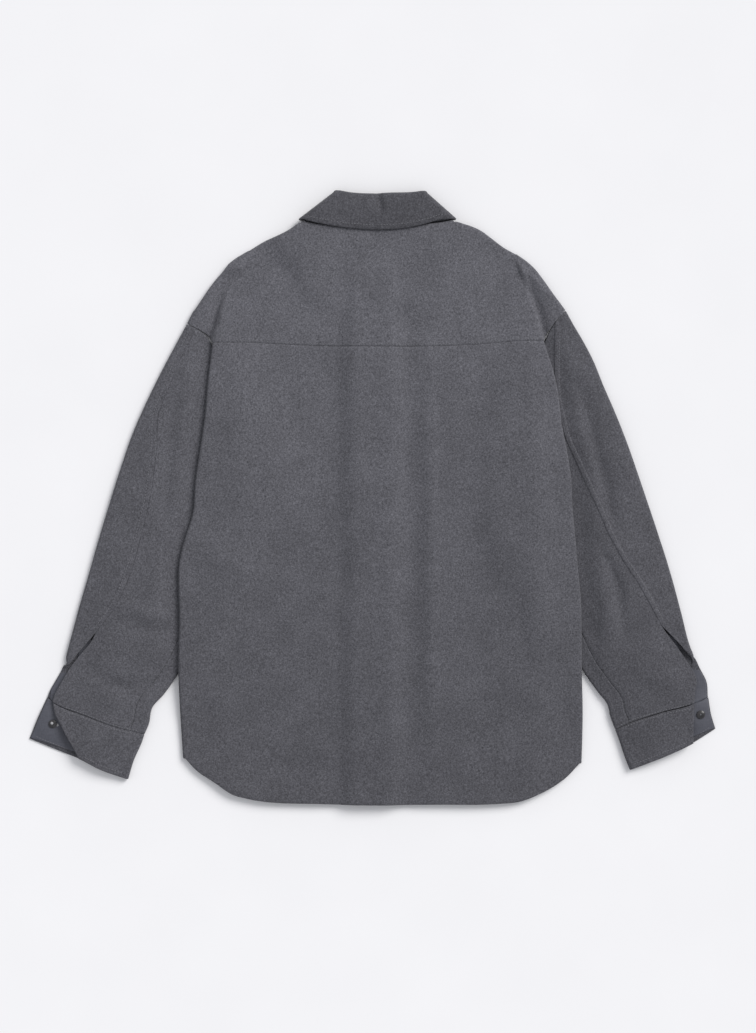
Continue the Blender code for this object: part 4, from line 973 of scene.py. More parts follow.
def cap_height(side, flat, share):
    """The cap's height: a sleeve's, going up to the back's as share goes to 1."""
    low = sleeve_height(side, flat[..., 0], flat[..., 1]) - CAP_GROOVE * near_fold(side, flat)
    high = back_height(flat[..., 0] * SIDES[side]["sign"], flat[..., 1])
    folds = folds_at(CAP_FOLDS[side], flat[..., 0], flat[..., 1])
    return low + (high - low) * share + folds


def yoke_cap(side, across, up):
    """The drop-shoulder cap between the armhole seam, the fold and the shoulder's outline."""
    table = SIDES[side]
    line, sign = table["curves"], table["sign"]
    shoulder, armhole = line["shoulder"], line["armhole"]

    def top(share):
        here = CAP_START + (1 - CAP_START) * share
        height = cap_height(side, shoulder.at(here), smooth(share))
        return shoulder.at(here) - way_out(shoulder, here) * turn_inset(height)[:, None]

    def bottom(share):
        last = armhole.knots[ARMHOLE_CORNER] - FOLD_STEP / armhole.length
        here = CAP_ARM_START + (last - CAP_ARM_START) * share
        return armhole.at(here) - 2 * SEAM * armhole.away(here)

    def outer(share):
        start, end = bottom(np.zeros(1)), top(np.zeros(1))
        return start + (end - start) * share[:, None]

    def step(share):
        beside = line["fold"].at(share) + LEVEL * FOLD_STEP * (1 - FOLD_CLOSE * share[:, None])
        low_corner = bottom(np.ones(1)) - line["fold"].at(0) - LEVEL * FOLD_STEP
        high_corner = top(np.ones(1)) - line["fold"].at(1) - LEVEL * FOLD_STEP * (1 - FOLD_CLOSE)
        beside = beside + low_corner * (1 - smooth(share / LOW_CORNER_SHARE))[:, None]
        return beside + (high_corner + LEVEL * FADE_STEP) * near_end(share)[:, None]

    flat = patch(outer, step, bottom, top, across, up)
    merge = smooth(across)[None, :] * smooth((up - FADE_FROM) / (1 - FADE_FROM))[:, None]
    grid = standing(placed(flat, sign), cap_height(side, flat, merge))
    return grid, placed(way_out(shoulder, CAP_START + (1 - CAP_START) * across), sign)


def near_end(share):
    """0 along a fold, going up to 1 over its last part, where it meets the outline."""
    return smooth((share - HIGH_CORNER_SHARE) / (1 - HIGH_CORNER_SHARE))


def neckline(share):
    """The outline between the two folds, its way out, and whether the yoke rolls over it."""
    left_run, right_run = LEFT["curves"]["neck_run"], RIGHT["curves"]["neck_run"]
    first, second = (column / (BACK_COLUMNS - 1) for column in NECK_COLUMNS)
    lead, tail = np.clip(share / first, 0, 1), np.clip((1 - share) / (1 - second), 0, 1)
    middle = np.clip((share - first) / (second - first), 0, 1)
    on_left, on_right = share <= first + TINY, share >= second - TINY
    at = np.where(on_left[:, None], placed(left_run.at(lead), -1), Curve(NECK_SEAM).at(middle))
    at = np.where(on_right[:, None], right_run.at(tail), at)
    way = np.where(on_left[:, None], placed(way_out(left_run, lead), -1), np.array([0.0, 1.0]))
    way = np.where(on_right[:, None], way_out(right_run, tail), way)
    return at, way, on_left | on_right


def by_neck(share):
    """1 under the collar's tips, going down to 0 beside them."""
    corners = [column / (BACK_COLUMNS - 1) for column in NECK_COLUMNS]
    return sum(np.exp(-(((share - corner) / NECK_TUCK_HALF) ** 2)) for corner in corners)


def back_yoke(material):
    """The yoke with its two caps, rolled over the shoulders down to the floor ply."""
    up, cap = finer(even(YOKE_ROWS), DOWN_FINE), finer(even(CAP_COLUMNS))
    main_run = finer(even(BACK_COLUMNS), ACROSS_FINE)
    left_cap, left_way = yoke_cap("left", cap, up)
    right_cap, right_way = yoke_cap("right", cap, up)

    def top(share):
        at, way, rolled = neckline(share)
        inset = turn_inset(back_height(at[:, 0], at[:, 1]))
        tight = by_neck(share)
        amount = np.where(rolled, inset * (1 - NECK_TIGHT * tight), SEAM - NECK_TUCK * tight)
        return at - way * amount[:, None]

    def fold_of(table, corner):
        def at(share):
            points = placed(table["curves"]["fold"].at(share), table["sign"])
            return points + (top(corner) - points[-1:]) * near_end(share)[:, None]

        return at

    left, right = fold_of(LEFT, np.zeros(1)), fold_of(RIGHT, np.ones(1))
    flat = patch(left, right, Curve(YOKE_SEAM).at, top, main_run, up)
    flat[0, :, 1] += SEAM
    centre = standing(flat, back_height(flat[..., 0], flat[..., 1]))
    grid = np.concatenate([left_cap, centre, right_cap[:, ::-1]], axis=1)
    _, way, rolled = neckline(main_run)
    outward = np.concatenate([left_way, way, right_way[::-1]])
    rolled = np.concatenate([cap >= 0, rolled, cap >= 0])
    edge = grid[-1, :, :2]
    low = front_height(edge[:, 0], edge[:, 1], False)
    rows = roll(edge, outward, low, grid[-1, :, 2], OVER)
    narrow = 1 - NECK_TIGHT * np.concatenate([cap * 0, by_neck(main_run), cap * 0])[:, None]
    for row in rows:
        row[:, :2] = edge + (row[:, :2] - edge) * narrow
    for share in finer([0, 1])[1:]:
        place = edge - outward * RETURN * share
        rows.append(standing(place, front_height(place[:, 0], place[:, 1], False)))
    ahead = standing(outward, np.zeros(len(outward))) * AHEAD
    turned = [np.where(rolled[:, None], row, grid[-1] + ahead * (k + 1)) for k, row in enumerate(rows)]
    grid = np.concatenate([grid, np.stack(turned)], axis=0)
    keep = np.ones((grid.shape[0] - 1, grid.shape[1] - 1), bool)
    keep[len(up) - 1 :] = rolled[1:] & rolled[:-1]
    wall("back_yoke", grid, material, keep=keep)


def way_out(curve, share):
    """The level way out of the garment from a side's outline, in (out, y)."""
    away = curve.away(np.asarray(share, float))
    return np.where(away[..., 1:] < 0, -away, away)


def front(name, table, lapped, material):
    """One front: a plain ply from its lapped centre edge to the side."""
    armhole, sign = table["curves"]["armhole"], table["sign"]
    side_line = body_inset(table, np.array(FRONT_SIDE_SHARES)) - LEVEL * (RETURN + 2 * HIDDEN_SEAM)
    lower = Curve([(out + table["hidden_shift"], y) for out, y in FRONT_SIDE] + side_line.tolist())
    beside_arm, below = np.linspace(0, ARM_PART, ARM_ROWS), np.linspace(ARM_PART, 1, SIDE_ROWS)
    up = finer(np.concatenate([beside_arm, below[1:]]), FRONT_FINE)
    shoulder = Curve(table["neck_run"][::-1] + table["shoulder"][::-1][1:])
    inset = WALL / 2 + SHOULDER_ROLL + RETURN + 2.5 * HIDDEN_SEAM
    arm_start = FRONT_ARM_START * inset / armhole.length
    shoulder_end = 1 - FRONT_SHOULDER_END * inset / shoulder.length

    def outer(share):
        here = arm_start + (1 - arm_start) * np.clip(share / ARM_PART, 0, 1)
        on_arm = armhole.at(here) - HIDDEN_SEAM * way_level(armhole, here)
        on_side = lower.at((share - ARM_PART) / (1 - ARM_PART))
        return np.where((share <= ARM_PART)[:, None], on_arm, on_side)

    def top(share):
        on_neck = Curve(FRONT_NECK).at(share / NECK_PART)
        here = np.clip((share - NECK_PART) / (1 - NECK_PART), 0, 1) * shoulder_end
        on_shoulder = shoulder.at(here) - inset * way_out(shoulder, here)
        return np.where((share < NECK_PART)[:, None], on_neck, on_shoulder)

    centre = straight(np.array([-LAP, FRONT_NECK[0][1]]), np.array([-LAP, FRONT_HEM_Y]))
    hem_line = Curve(HEM).at(even(HEM_STEPS))

    def bottom(share):
        outs = -LAP + (side_line[-1, 0] + LAP) * share
        return np.column_stack([outs, np.interp(outs * sign, hem_line[:, 0], hem_line[:, 1]) + HEM_INSET])

    flat = placed(patch(centre, outer, top, bottom, finer(FRONT_ACROSS, FRONT_FINE), up), sign)
    height = front_height(flat[..., 0], flat[..., 1], lapped)
    wall(name, standing(flat, height), material)


def way_level(curve, share):
    """The level way from a side's line towards the side, in (out, y)."""
    away = curve.away(share)
    return np.where(away[..., :1] < 0, -away, away)


def straight(start, end):
    """The straight run between two points as a function of its share."""

    def at(share):
        return start + (end - start) * np.asarray(share)[:, None]

    return at


def on_sleeve(side, flat):
    """A sleeve's level points raised to its upper ply."""
    return standing(flat, sleeve_height(side, flat[..., 0], flat[..., 1]))


def edge_inset(side, name, share):
    """A sleeve's outline, its way to the side and how far in the cloth starts to turn."""
    curve = SIDES[side]["curves"][name]
    at, way = curve.at(share), way_level(curve, share)
    return at, way, turn_inset(sleeve_height(side, at[:, 0], at[:, 1]))


def outer_inset(side, share):
    """The same for a sleeve's outer edge."""
    return edge_inset(side, "outer", np.maximum(share, OUTER_START))


def seam_edge(table, share, slit, shift):
    """The back seam, and below it the edge that one side of the slit has."""
    seam, below = table["curves"]["back_seam"], table["curves"][slit]
    end = SLIT_END_SHARE if slit == "slit_top" else 1.0
    on_seam = np.clip(share / SLIT_SHARE, 0, 1)
    on_slit = np.clip((share - SLIT_SHARE) / (end - SLIT_SHARE), 0, 1)
    at = np.where((share <= SLIT_SHARE)[:, None], seam.at(on_seam), below.at(on_slit))
    return at + LEVEL * shift


def share_near(curve, point):
    """The share of a curve's length that lies nearest to a point."""
    shares = even(NEAR_STEPS)
    return shares[np.linalg.norm(curve.at(shares) - np.array(point), axis=1).argmin()]


def seam_y(table, outs):
    """The y at which the sleeve's cloth meets the cuff seam, for distances out."""
    line = table["curves"]["cuff_seam"].at(even(SEAM_STEPS))[::-1]
    return np.interp(outs, line[:, 0], line[:, 1]) + SEAM


def on_cuff_seam(table, points):
    """Moves the last of a sleeve edge's points onto the cuff seam."""
    moved = points.copy()
    moved[-1, 1] = seam_y(table, moved[-1, 0])
    return moved


def through(shares, points):
    """The straight-sided line through points, as a function of the share that each one has."""

    def at(share):
        return np.column_stack([np.interp(share, shares, points[:, axis]) for axis in (0, 1)])

    return at


def sleeve_rows():
    """A sleeve's rows: above the slit, beside it, and close together down to the cuff seam."""
    above = np.linspace(0, SLIT_SHARE, SLEEVE_ROWS)
    slit = np.linspace(SLIT_SHARE, SLIT_END_SHARE, SLIT_ROWS)[1:]
    return finer(np.concatenate([above, slit, LAST_ROWS]))


def level_strip(table, outline, way, inset, columns):
    """The strip on the floor that a sleeve's cloth goes over to beside its slit."""
    reach = (inset + STRIP)[:, None, None]
    strip = (outline - way * LEVEL_IN)[:, None] - way[:, None] * reach * even(columns)[None, :, None]
    strip[-1, :, 1] = seam_y(table, strip[-1, :, 0])
    return standing(strip, np.full(strip.shape[:2], FLOOR_MID))


def upper_ply(side, rows):
    """The larger cut's cloth from the back seam out and down over the outer edge."""
    table = SIDES[side]
    armhole = table["curves"]["armhole"]
    outline, way, inset = outer_inset(side, rows)
    start = seam_edge(table, rows, "slit_top", SEAM)
    brim = outline - way * inset[:, None]
    room = ((brim - start) * way).sum(1)
    start = start - way * np.maximum(0, LEAST_TOP - room)[:, None]
    seam_share = share_near(armhole, table["back_seam"][0])
    by_armhole = run_of(armhole, seam_share, ARM_OUTER_SHARE, shift=SEAM)
    by_cuff = straight(start[-1], brim[-1])
    across = finer(TOP_ACROSS, TOP_FINE)
    flat = patch(through(rows, start), through(rows, brim), by_armhole, by_cuff, across, rows)
    upper = on_sleeve(side, flat)
    edge = upper[:, -1]
    columns = list(np.swapaxes(upper, 0, 1))
    columns += roll(edge[:, :2], way, np.full(len(rows), FLOOR_MID), edge[:, 2], OVER)
    grid = np.stack(columns, axis=1)
    level_share = smooth((rows - FLAT_FROM) / FLAT_FADE)
    grid += (level_strip(table, outline, way, inset, len(columns)) - grid) * level_share[:, None, None]
    filled = NOTCH_FILL * level_share * (1 - level_share)
    grid[..., :2] += (way * filled[:, None])[:, None]
    return grid


def sleeve_top(side, material):
    """The larger cut: from the back seam round the outer edge, below and up to the underarm seam."""
    table = SIDES[side]
    line, rows = table["curves"], sleeve_rows()
    upper = upper_ply(side, rows)
    within, way_in, inset = edge_inset(side, "inner", rows)
    below = patch(
        through(rows, upper[:, -1, :2]), through(rows, within + way_in * inset[:, None]),
        run_of(line["armhole"], ARM_UNDER_SHARE, 1, shift=SEAM),
        run_of(line["cuff_seam"], CUFF_OUTER_SHARE, CUFF_INNER_SHARE), finer(even(BELOW_COLUMNS)), rows,
    )
    last, floor_mid = below[:, -1], np.full(below.shape[:2], FLOOR_MID)
    high = sleeve_height(side, last[:, 0], last[:, 1])
    turned = roll(last, -way_in, floor_mid[:, 0], high, OVER[::-1])[1:]
    turned.append(standing(last, high))
    end = within + way_in * (UNDERARM_IN - SEAM / 2)
    for share in finer(TURNED)[1:]:
        turned.append(on_sleeve(side, on_cuff_seam(table, last + (end - last) * share)))
    grid = np.concatenate([upper, standing(below, floor_mid)[:, 1:], np.stack(turned, axis=1)], axis=1)
    wall(f"sleeve_{side}_top", placed(grid, table["sign"]), material)


def sleeve_under(side, material):
    """The narrower cut, between the back seam with its slit and the underarm seam."""
    table = SIDES[side]
    armhole, cuff_seam = table["curves"]["armhole"], table["curves"]["cuff_seam"]
    rows = sleeve_rows()
    start = seam_edge(table, rows, "flap", -SEAM)
    within, way_in, _ = edge_inset(side, "inner", rows)
    end = on_cuff_seam(table, within + way_in * (UNDERARM_IN + SEAM / 2))
    bottom = run_of(armhole, share_near(armhole, table["back_seam"][0]), ARM_INNER_SHARE, shift=SEAM)
    top = run_of(cuff_seam, cuff_seam.knots[1], share_near(cuff_seam, end[-1]))
    flat = patch(through(rows, start), through(rows, end), bottom, top, finer(UNDER_ACROSS), rows)
    flat[-1, :, 1] += SEAM
    wall(f"sleeve_{side}_under", placed(on_sleeve(side, flat), table["sign"]), material)


def cuff(side, material):
    """The cuff: from its free edge by the slit round the inner edge and back below."""
    table = SIDES[side]
    line, down = table["curves"], finer(even(CUFF_ROWS))
    seam, hem = line["cuff_seam"], line["cuff_hem"]
    seam_gap = np.column_stack([np.zeros(len(down)), -SEAM * (1 - down)])
    at, way, inset = edge_inset(side, "cuff_inner", down)
    flap_end = share_near(hem, table["cuff_flap"][-1])
    upper = patch(
        through(down, line["cuff_flap"].at(down) + seam_gap),
        through(down, at + way * inset[:, None] + seam_gap),
        run_of(seam, seam.knots[1], CUFF_INNER_SHARE), run_of(hem, flap_end, CUFF_INNER_SHARE),
        finer(even(CUFF_COLUMNS)), down,
    )
    upper = on_sleeve(side, upper)
    edge = upper[:, -1]
    low = FLOOR_MID + cuff_rise(table, edge[:, 0], edge[:, 1])
    turned = roll(edge[:, :2], -way, low, edge[:, 2], OVER)
    lower = patch(
        through(down, edge[:, :2]), through(down, line["cuff_outer"].at(down) + seam_gap),
        run_of(seam, CUFF_INNER_SHARE, 0), run_of(hem, CUFF_INNER_SHARE, 0),
        finer(even(CUFF_BELOW_COLUMNS)), down,
    )
    lower = standing(lower, FLOOR_MID + cuff_rise(table, lower[..., 0], lower[..., 1]))
    grid = np.concatenate([upper, np.stack(turned, axis=1), lower[:, 1:]], axis=1)
    grid[0, :, 1] -= CUFF_GAP
    wall(f"cuff_{side}", placed(grid, table["sign"]), material)


def facing_sheet(name, side, outer, inner, columns, seam_row, seam_gap, material):
    """A smooth facing between two runs of points, with one end row by the cuff seam."""
    table = SIDES[side]
    flat = outer[:, None] + (inner - outer)[:, None] * finer(even(columns))[None, :, None]
    flat[seam_row, :, 1] = seam_y(table, flat[seam_row, :, 0]) + seam_gap
    height = FACING_MID + FACING_RISE * cuff_rise(table, flat[..., 0], flat[..., 1])
    wall(f"{name}_{side}", placed(standing(flat, height), table["sign"]), material, FACING_WALL)


def cuff_facing(side, material):
    """The smooth inside of the cuff's lower end, which shows past the free edge."""
    line, down = SIDES[side]["curves"], finer(np.linspace(*FACING_DOWN, FACING_ROWS))
    outer = line["cuff_outer"].at(down) - LEVEL * FACING_IN
    inner = line["cuff_flap"].at(down) - LEVEL * FACING_UNDER
    facing_sheet("cuff_facing", side, outer, inner, FACING_COLUMNS, 0, -FACING_SEAM, material)


def slit_facing(side, material):
    """The smooth facing inside the sleeve's open slit."""
    rows = finer(np.linspace(*SLIT_FACING_DOWN, SLIT_FACING_ROWS))
    closed = 1 - smooth((rows - FACING_OPEN_FROM) / FACING_OPEN_FADE)
    outline, way, _ = outer_inset(side, rows)
    outer = outline - way * (FACING_IN + FACING_CLEAR * closed)[:, None]
    inner = seam_edge(SIDES[side], rows, "flap", 0) - LEVEL * FACING_UNDER
    facing_sheet("slit_facing", side, outer, inner, SLIT_FACING_COLUMNS, -1, FACING_SEAM, material)


def cuff_discs(side, material):
    """The cuff's button, below on the floor, and the small disc sewn behind it."""
    table = SIDES[side]
    out, y = table["cuff_button"]
    x = out * table["sign"]
    disc(f"cuff_button_{side}", (x, y, 0), CUFF_BUTTON_RADIUS, CUFF_BUTTON_THICK, material)
    base = FACING_MID + FACING_WALL / 2 + SEAM + FACING_RISE * CUFF_BUTTON_RISE
    disc(f"cuff_backing_{side}", (x, y, base), BACKING_RADIUS, BACKING_THICK, material)


def ring(back, left_front, right_front, back_z, front_z):
    """A collar's line all round: middle points and the ways out, from one front end to the other."""
    points, ways = [], []
    for share in even(LEAF_COLUMNS)[:0:-1]:
        x, y = left_front.at(share)
        points.append((x, y, front_z))
        ways.append((0, 0, -1))
    ends = back.at(np.array([0.0, 1.0]))
    tops = [back_z(*ends[0]), back_z(*ends[1])]
    for sign, end, top, angles in ((-1, ends[0], tops[0], TURN), (1, ends[1], tops[1], TURN[::-1])):
        middle, radius = (top + front_z) / 2, (top - front_z) / 2
        for angle in angles:
            turn = math.radians(angle)
            way = (sign * math.cos(turn), 0, math.sin(turn))
            points.append((end[0] + radius * way[0], end[1], middle + radius * way[2]))
            ways.append(way)
        if sign < 0:
            for share in even(COLLAR_COLUMNS)[1:-1]:
                x, y = back.at(share)
                points.append((x, y, back_z(x, y)))
                ways.append((0, 0, 1))
    for share in even(LEAF_COLUMNS)[1:]:
        x, y = right_front.at(share)
        points.append((x, y, front_z))
        ways.append((0, 0, -1))
    return np.array(points, float), np.array(ways, float)


def front_run(points, side):
    """A collar line's front run, from the side of the neck to the front end."""
    wide = LEAF_WIDTH[side] * SIDES[side]["sign"]
    return Curve([(out * wide, y) for out, y in points])


def plumped(grid, ways):
    """Rounds the collar's fall out over its fold and presses its creases in."""
    share = even(len(grid))[:, None]
    bulge = FALL_BULGE * np.sin(math.pi * np.minimum(share * BULGE_REACH, 1)) ** BULGE_POWER
    back = np.clip(ways[:, 2], 0, 1)[None]
    x, y = grid[..., 0], grid[..., 1]
    dents = folds_at(FALL_DENTS, x, y) + FALL_RIPPLE * ripple(x, y)
    moved = grid.copy()
    moved[..., 2] += (bulge + dents) * back
    return moved


def back_level(x, y):
    """The back's height at one place."""
    return float(back_height(np.array([x]), np.array([y]))[0])


def seam_level(x, y):
    """How high the collar stand's seam lies on the neck."""
    return back_level(x, y - STAND_SEAM_IN)


def fold_level(x, y):
    """How high the collar's fold stands, a little higher towards its ends."""
    return STAND_TOP + FOLD_END_RISE * min(1.0, abs(x - FOLD_MIDDLE) / FOLD_HALF) ** 2


def rest_level(x, y):
    """How high the collar's lower edge rests on the yoke."""
    return back_level(x, min(y, COLLAR_REST_Y)) + WALL + COLLAR_CLEAR


def collar(material):
    """The stand, from the neck seam up to the fold, and the fall, from its edge over the fold."""
    on_front = FLOOR_MID + COLLAR_PLY
    lines = {}
    for name, back, run, level, front_z in (
        ("seam", STAND_SEAM, STAND_SEAM_FRONT, seam_level, on_front),
        ("fold", COLLAR_FOLD, COLLAR_FOLD_FRONT, fold_level, on_front),
        ("edge", COLLAR_EDGE, COLLAR_EDGE_FRONT, rest_level, FLOOR_MID),
    ):
        runs = [front_run(run, side) for side in SIDES]
        lines[name] = ring(Curve(back), *runs, level, front_z)
    fold_points, ways = lines["fold"]
    crest = fold_points + ways * COLLAR_PLY
    half = COLLAR_PLY / 2
    rise = fold_points - lines["seam"][0]
    rise -= ways * (rise * ways).sum(1)[:, None]
    rise /= np.linalg.norm(rise, axis=1)[:, None]

    def over(angle):
        turn = math.radians(angle)
        return fold_points + ways * half * (1 + math.sin(turn)) + rise * half * math.cos(turn)

    base = lines["seam"][0]
    stand = [base + (fold_points - base) * share for share in even(STAND_ROWS)]
    stand += [over(angle) for angle in STAND_TURN]
    wall("collar_stand", np.stack(stand), material)
    low = lines["edge"][0]
    fall = [low + (crest - low) * share for share in even(FALL_ROWS)]
    fall += [over(angle) for angle in FALL_TURN]
    wall("collar_fall", plumped(np.stack(fall), ways), material, FALL_WALL)


def new_node(tree, kind, values=None, links=None):
    """A shader node with its named inputs set to values or linked to other nodes."""
    node = tree.nodes.new("ShaderNode" + kind)
    for name, value in (values or {}).items():
        node.inputs[name].default_value = value
    for name, source in (links or {}).items():
        tree.links.new(source, node.inputs[name])
    return node


def new_material(name, finish):
    """A material, its node tree and its shader with the plain settings of a finish."""
    material = bpy.data.materials.new(name)
    material.use_nodes = True
    tree = material.node_tree
    tree.nodes.clear()
    shader = new_node(tree, "BsdfPrincipled", finish)
    new_node(tree, "OutputMaterial", links={"Surface": shader.outputs["BSDF"]})
    return material, tree, shader


def noise(tree, lie, scale, detail=NOISE_DETAIL):
    """Noise over the piece in its own coordinates, turned and stretched the way its threads lie."""
    turn, stretch = lie
    place = new_node(tree, "TexCoord").outputs["Object"]
    values = {"Rotation": (0, 0, math.radians(turn)), "Scale": stretch}
    spot = new_node(tree, "Mapping", values, {"Vector": place}).outputs["Vector"]
    values = {"Scale": scale, "Detail": detail, "Roughness": NOISE_ROUGHNESS}
    return new_node(tree, "TexNoise", values, {"Vector": spot}).outputs["Fac"]


def ramp(tree, value, stops):
    """Colours between two or more stops."""
    node = new_node(tree, "ValToRGB", links={"Fac": value})
    while len(node.color_ramp.elements) < len(stops):
        node.color_ramp.elements.new(0.5)
    for element, (place, colour) in zip(node.color_ramp.elements, stops):
        element.position = place
        element.color = (*colour, 1)
    return node.outputs["Color"]


def mixed(tree, first, second, share, mode="MIX"):
    """Two colours mixed or multiplied."""
    node = tree.nodes.new("ShaderNodeMix")
    node.data_type = "RGBA"
    node.blend_type = mode
    node.inputs["Factor"].default_value = share
    tree.links.new(first, node.inputs["A"])
    tree.links.new(second, node.inputs["B"])
    return node.outputs["Result"]


def add_bump(tree, shader, height, bump):
    """Raises a surface's grain by a strength and a distance in metres."""
    strength, distance = bump
    node = new_node(tree, "Bump", {"Strength": strength, "Distance": distance}, {"Height": height})
    tree.links.new(node.outputs["Normal"], shader.inputs["Normal"])


def painted_shade_ramp(tree, low, high):
    """A painted shade that goes from low at the hem to high at the yoke seam."""
    place = new_node(tree, "TexCoord").outputs["Object"]
    height = new_node(tree, "SeparateXYZ", links={"Vector": place}).outputs["Y"]
    span = {"From Min": SHADE_LOW_Y * MM, "From Max": SHADE_HIGH_Y * MM}
    share = new_node(tree, "MapRange", span, {"Value": height}).outputs["Result"]
    return ramp(tree, share, [(0.0, (low,) * 3), (1.0, (high,) * 3)])


def wool_cloth(name, painted_shades):
    """Heathered melton: dark and pale grey fibres matted together, with a soft raised nap.

    Each cut is multiplied by its painted shade, darker on the sleeves and collar and towards the hem, where
    the light falls off.
    """
    material, tree, shader = new_material(name, WOOL_FINISH)
    fibres = ramp(tree, noise(tree, SLANT, SLANT_SCALE), SLANT_STOPS)
    others = ramp(tree, noise(tree, CROSS, CROSS_SCALE), CROSS_STOPS)
    colour = mixed(tree, fibres, others, 0.5)
    for scale, stops in (TUFTS, CLOUDS):
        tone = ramp(tree, noise(tree, PLAIN, scale, COARSE_DETAIL), stops)
        colour = mixed(tree, colour, tone, 1.0, "MULTIPLY")
    # Painted shade: darkens the cut, more towards the hem, where the light falls off
    colour = mixed(tree, colour, painted_shade_ramp(tree, *painted_shades), 1.0, "MULTIPLY")
    tree.links.new(colour, shader.inputs["Base Color"])
    add_bump(tree, shader, noise(tree, PLAIN, NAP_SCALE, FINE_DETAIL), WOOL_BUMP)
    return material


def facing_cloth():
    """Smooth, tightly woven dark facing."""
    material, tree, shader = new_material("facing_weave", FACING_FINISH)
    warp, weft = (noise(tree, lie, WEAVE_SCALE, COARSE_DETAIL) for lie in (WARP, WEFT))
    threads = mixed(tree, ramp(tree, warp, FACING_STOPS), ramp(tree, weft, FACING_STOPS), 0.5)
    tree.links.new(threads, shader.inputs["Base Color"])
    add_bump(tree, shader, warp, FACING_BUMP)
    return material


def grained(name, finish, lie, scale, detail, stops):
    """A plain material with one grain of two colours."""
    material, tree, shader = new_material(name, finish)
    colour = ramp(tree, noise(tree, lie, scale, detail), stops)
    tree.links.new(colour, shader.inputs["Base Color"])
    return material


def horn_plastic():
    """Dark marbled button resin."""
    return grained("button_resin", HORN_FINISH, VEINS, VEIN_SCALE, FINE_DETAIL, HORN_STOPS)


def thread_cotton(name, stops):
    """Twisted sewing thread."""
    return grained(name, MATT_FINISH, PLAIN, TWIST_SCALE, COARSE_DETAIL, stops)


def surface_of(name):
    """A piece's surface, for finding where stitches lie on it."""
    if name not in surfaces:
        mesh = pieces[name].data
        points = [vertex.co.copy() for vertex in mesh.vertices]
        faces = [tuple(face.vertices) for face in mesh.polygons]
        surfaces[name] = BVHTree.FromPolygons(points, faces)
    return surfaces[name]


def height_on(names, x, y):
    """The height of the highest of the named pieces at (x, y), or None beside them."""
    start, down = Vector((x * MM, y * MM, RAY_FROM)), Vector((0, 0, -1))
    hits = [surface_of(name).ray_cast(start, down)[0] for name in names]
    return max((hit.z / MM for hit in hits if hit is not None), default=None)


def stitch_run(name, curve, below, material, start=0.0, end=1.0):
    """One row of lock stitches along a curve, half sunk in the nap of the pieces below it."""
    fine = curve.at(np.linspace(start, end, NEAR_STEPS))
    lengths = np.concatenate([[0], np.cumsum(np.linalg.norm(np.diff(fine, axis=0), axis=1))])
    points, faces = [], []
    for k in range(int(lengths[-1] / STITCH_PITCH)):
        spots = (k + np.array(STITCH_PLACES)) * STITCH_PITCH
        xs, ys = np.interp(spots, lengths, fine[:, 0]), np.interp(spots, lengths, fine[:, 1])
        along = np.array([xs[2] - xs[0], ys[2] - ys[0]])
        side = np.array([-along[1], along[0]]) / np.linalg.norm(along)
        heights = [height_on(below, x, y) for x, y in zip(xs, ys)]
        if None in heights:
            continue
        base = len(points)
        for x, y, z, swell in zip(xs, ys, heights, STITCH_SWELL):
            for turn in range(THREAD_SIDES):
                angle = math.radians(360 / THREAD_SIDES * turn)
                out = side * math.cos(angle) * THREAD_RADIUS * swell
                lift = THREAD_RADIUS * swell * math.sin(angle) + THREAD_LIFT * (swell - STITCH_SWELL[0])
                points.append((x + out[0], y + out[1], z + lift))
        faces += tube_faces(base, 2, THREAD_SIDES)
        faces.append(tuple(range(base + THREAD_SIDES - 1, base - 1, -1)))
        faces.append(tuple(range(base + 2 * THREAD_SIDES, base + 3 * THREAD_SIDES)))
    obj = solid(name, points, faces, material)
    stitched.setdefault(below[0], []).append(obj)


def moved(curve, amount):
    """A curve moved to its left."""
    shares = even(MOVED_STEPS)
    return Curve(curve.at(shares) + amount * curve.away(shares))


def on_side(side, curve):
    """A side's (out, y) curve in x and y."""
    return Curve(placed(curve.at(even(MOVED_STEPS)), SIDES[side]["sign"]))


def sew_part(name, side, curve, start, end, below, thread):
    """A row of stitches along a stretch of a side's curve."""
    part = Curve(curve.at(np.linspace(start, end, PART_STEPS)))
    stitch_run(f"stitch_{name}_{side}", on_side(side, part), below, thread)


def sew_side(side, thread):
    """The rows along a sleeve's and a cuff's seams and edges."""
    table = SIDES[side]
    line = table["curves"]
    top, under, cuff_name = f"sleeve_{side}_top", f"sleeve_{side}_under", f"cuff_{side}"
    arm, arm_end = moved(line["armhole"], -ARM_STITCH_IN), line["armhole"].knots[ARMHOLE_CORNER]
    sew_part("armhole", side, arm, ARM_RUN[0], arm_end * ARM_RUN[1], ["back_yoke"], thread)
    seam = Curve([(out + SEAM_STITCH_IN, y) for out, y in table["back_seam"]])
    stitch_run(f"stitch_sleeve_{side}", on_side(side, seam), [top], thread, *SLEEVE_RUN)
    above, beneath = (moved(line["cuff_seam"], amount) for amount in (-EDGE_STITCH_IN, EDGE_STITCH_IN))
    sew_part("cuff_top", side, above, *CUFF_RUN, [under, top], thread)
    sew_part("cuff_low", side, beneath, *CUFF_RUN, [cuff_name], thread)
    hem = moved(line["cuff_hem"], -COLLAR_STITCH_IN)
    flap = share_near(line["cuff_hem"], table["cuff_flap"][-1])
    sew_part("facing", side, hem, FACING_STITCH_START, flap, [f"cuff_facing_{side}"], thread)
    sew_part("cuff_hem", side, hem, flap + FLAP_GAP, CUFF_RUN[1], [cuff_name], thread)


def sew(thread, pale):
    """Every seam's stitching that the cloth shows."""
    collar_row = Curve([(x, y + COLLAR_STITCH_IN) for x, y in COLLAR_EDGE])
    stitch_run("stitch_collar", collar_row, ["collar_fall"], thread, *COLLAR_RUN)
    yoke_row = Curve([(x, y + EDGE_STITCH_IN) for x, y in YOKE_SEAM])
    stitch_run("stitch_yoke", yoke_row, ["back_yoke"], thread, *YOKE_RUN)
    for side in SIDES:
        sew_side(side, thread)
        mark_backing(side, thread, pale)


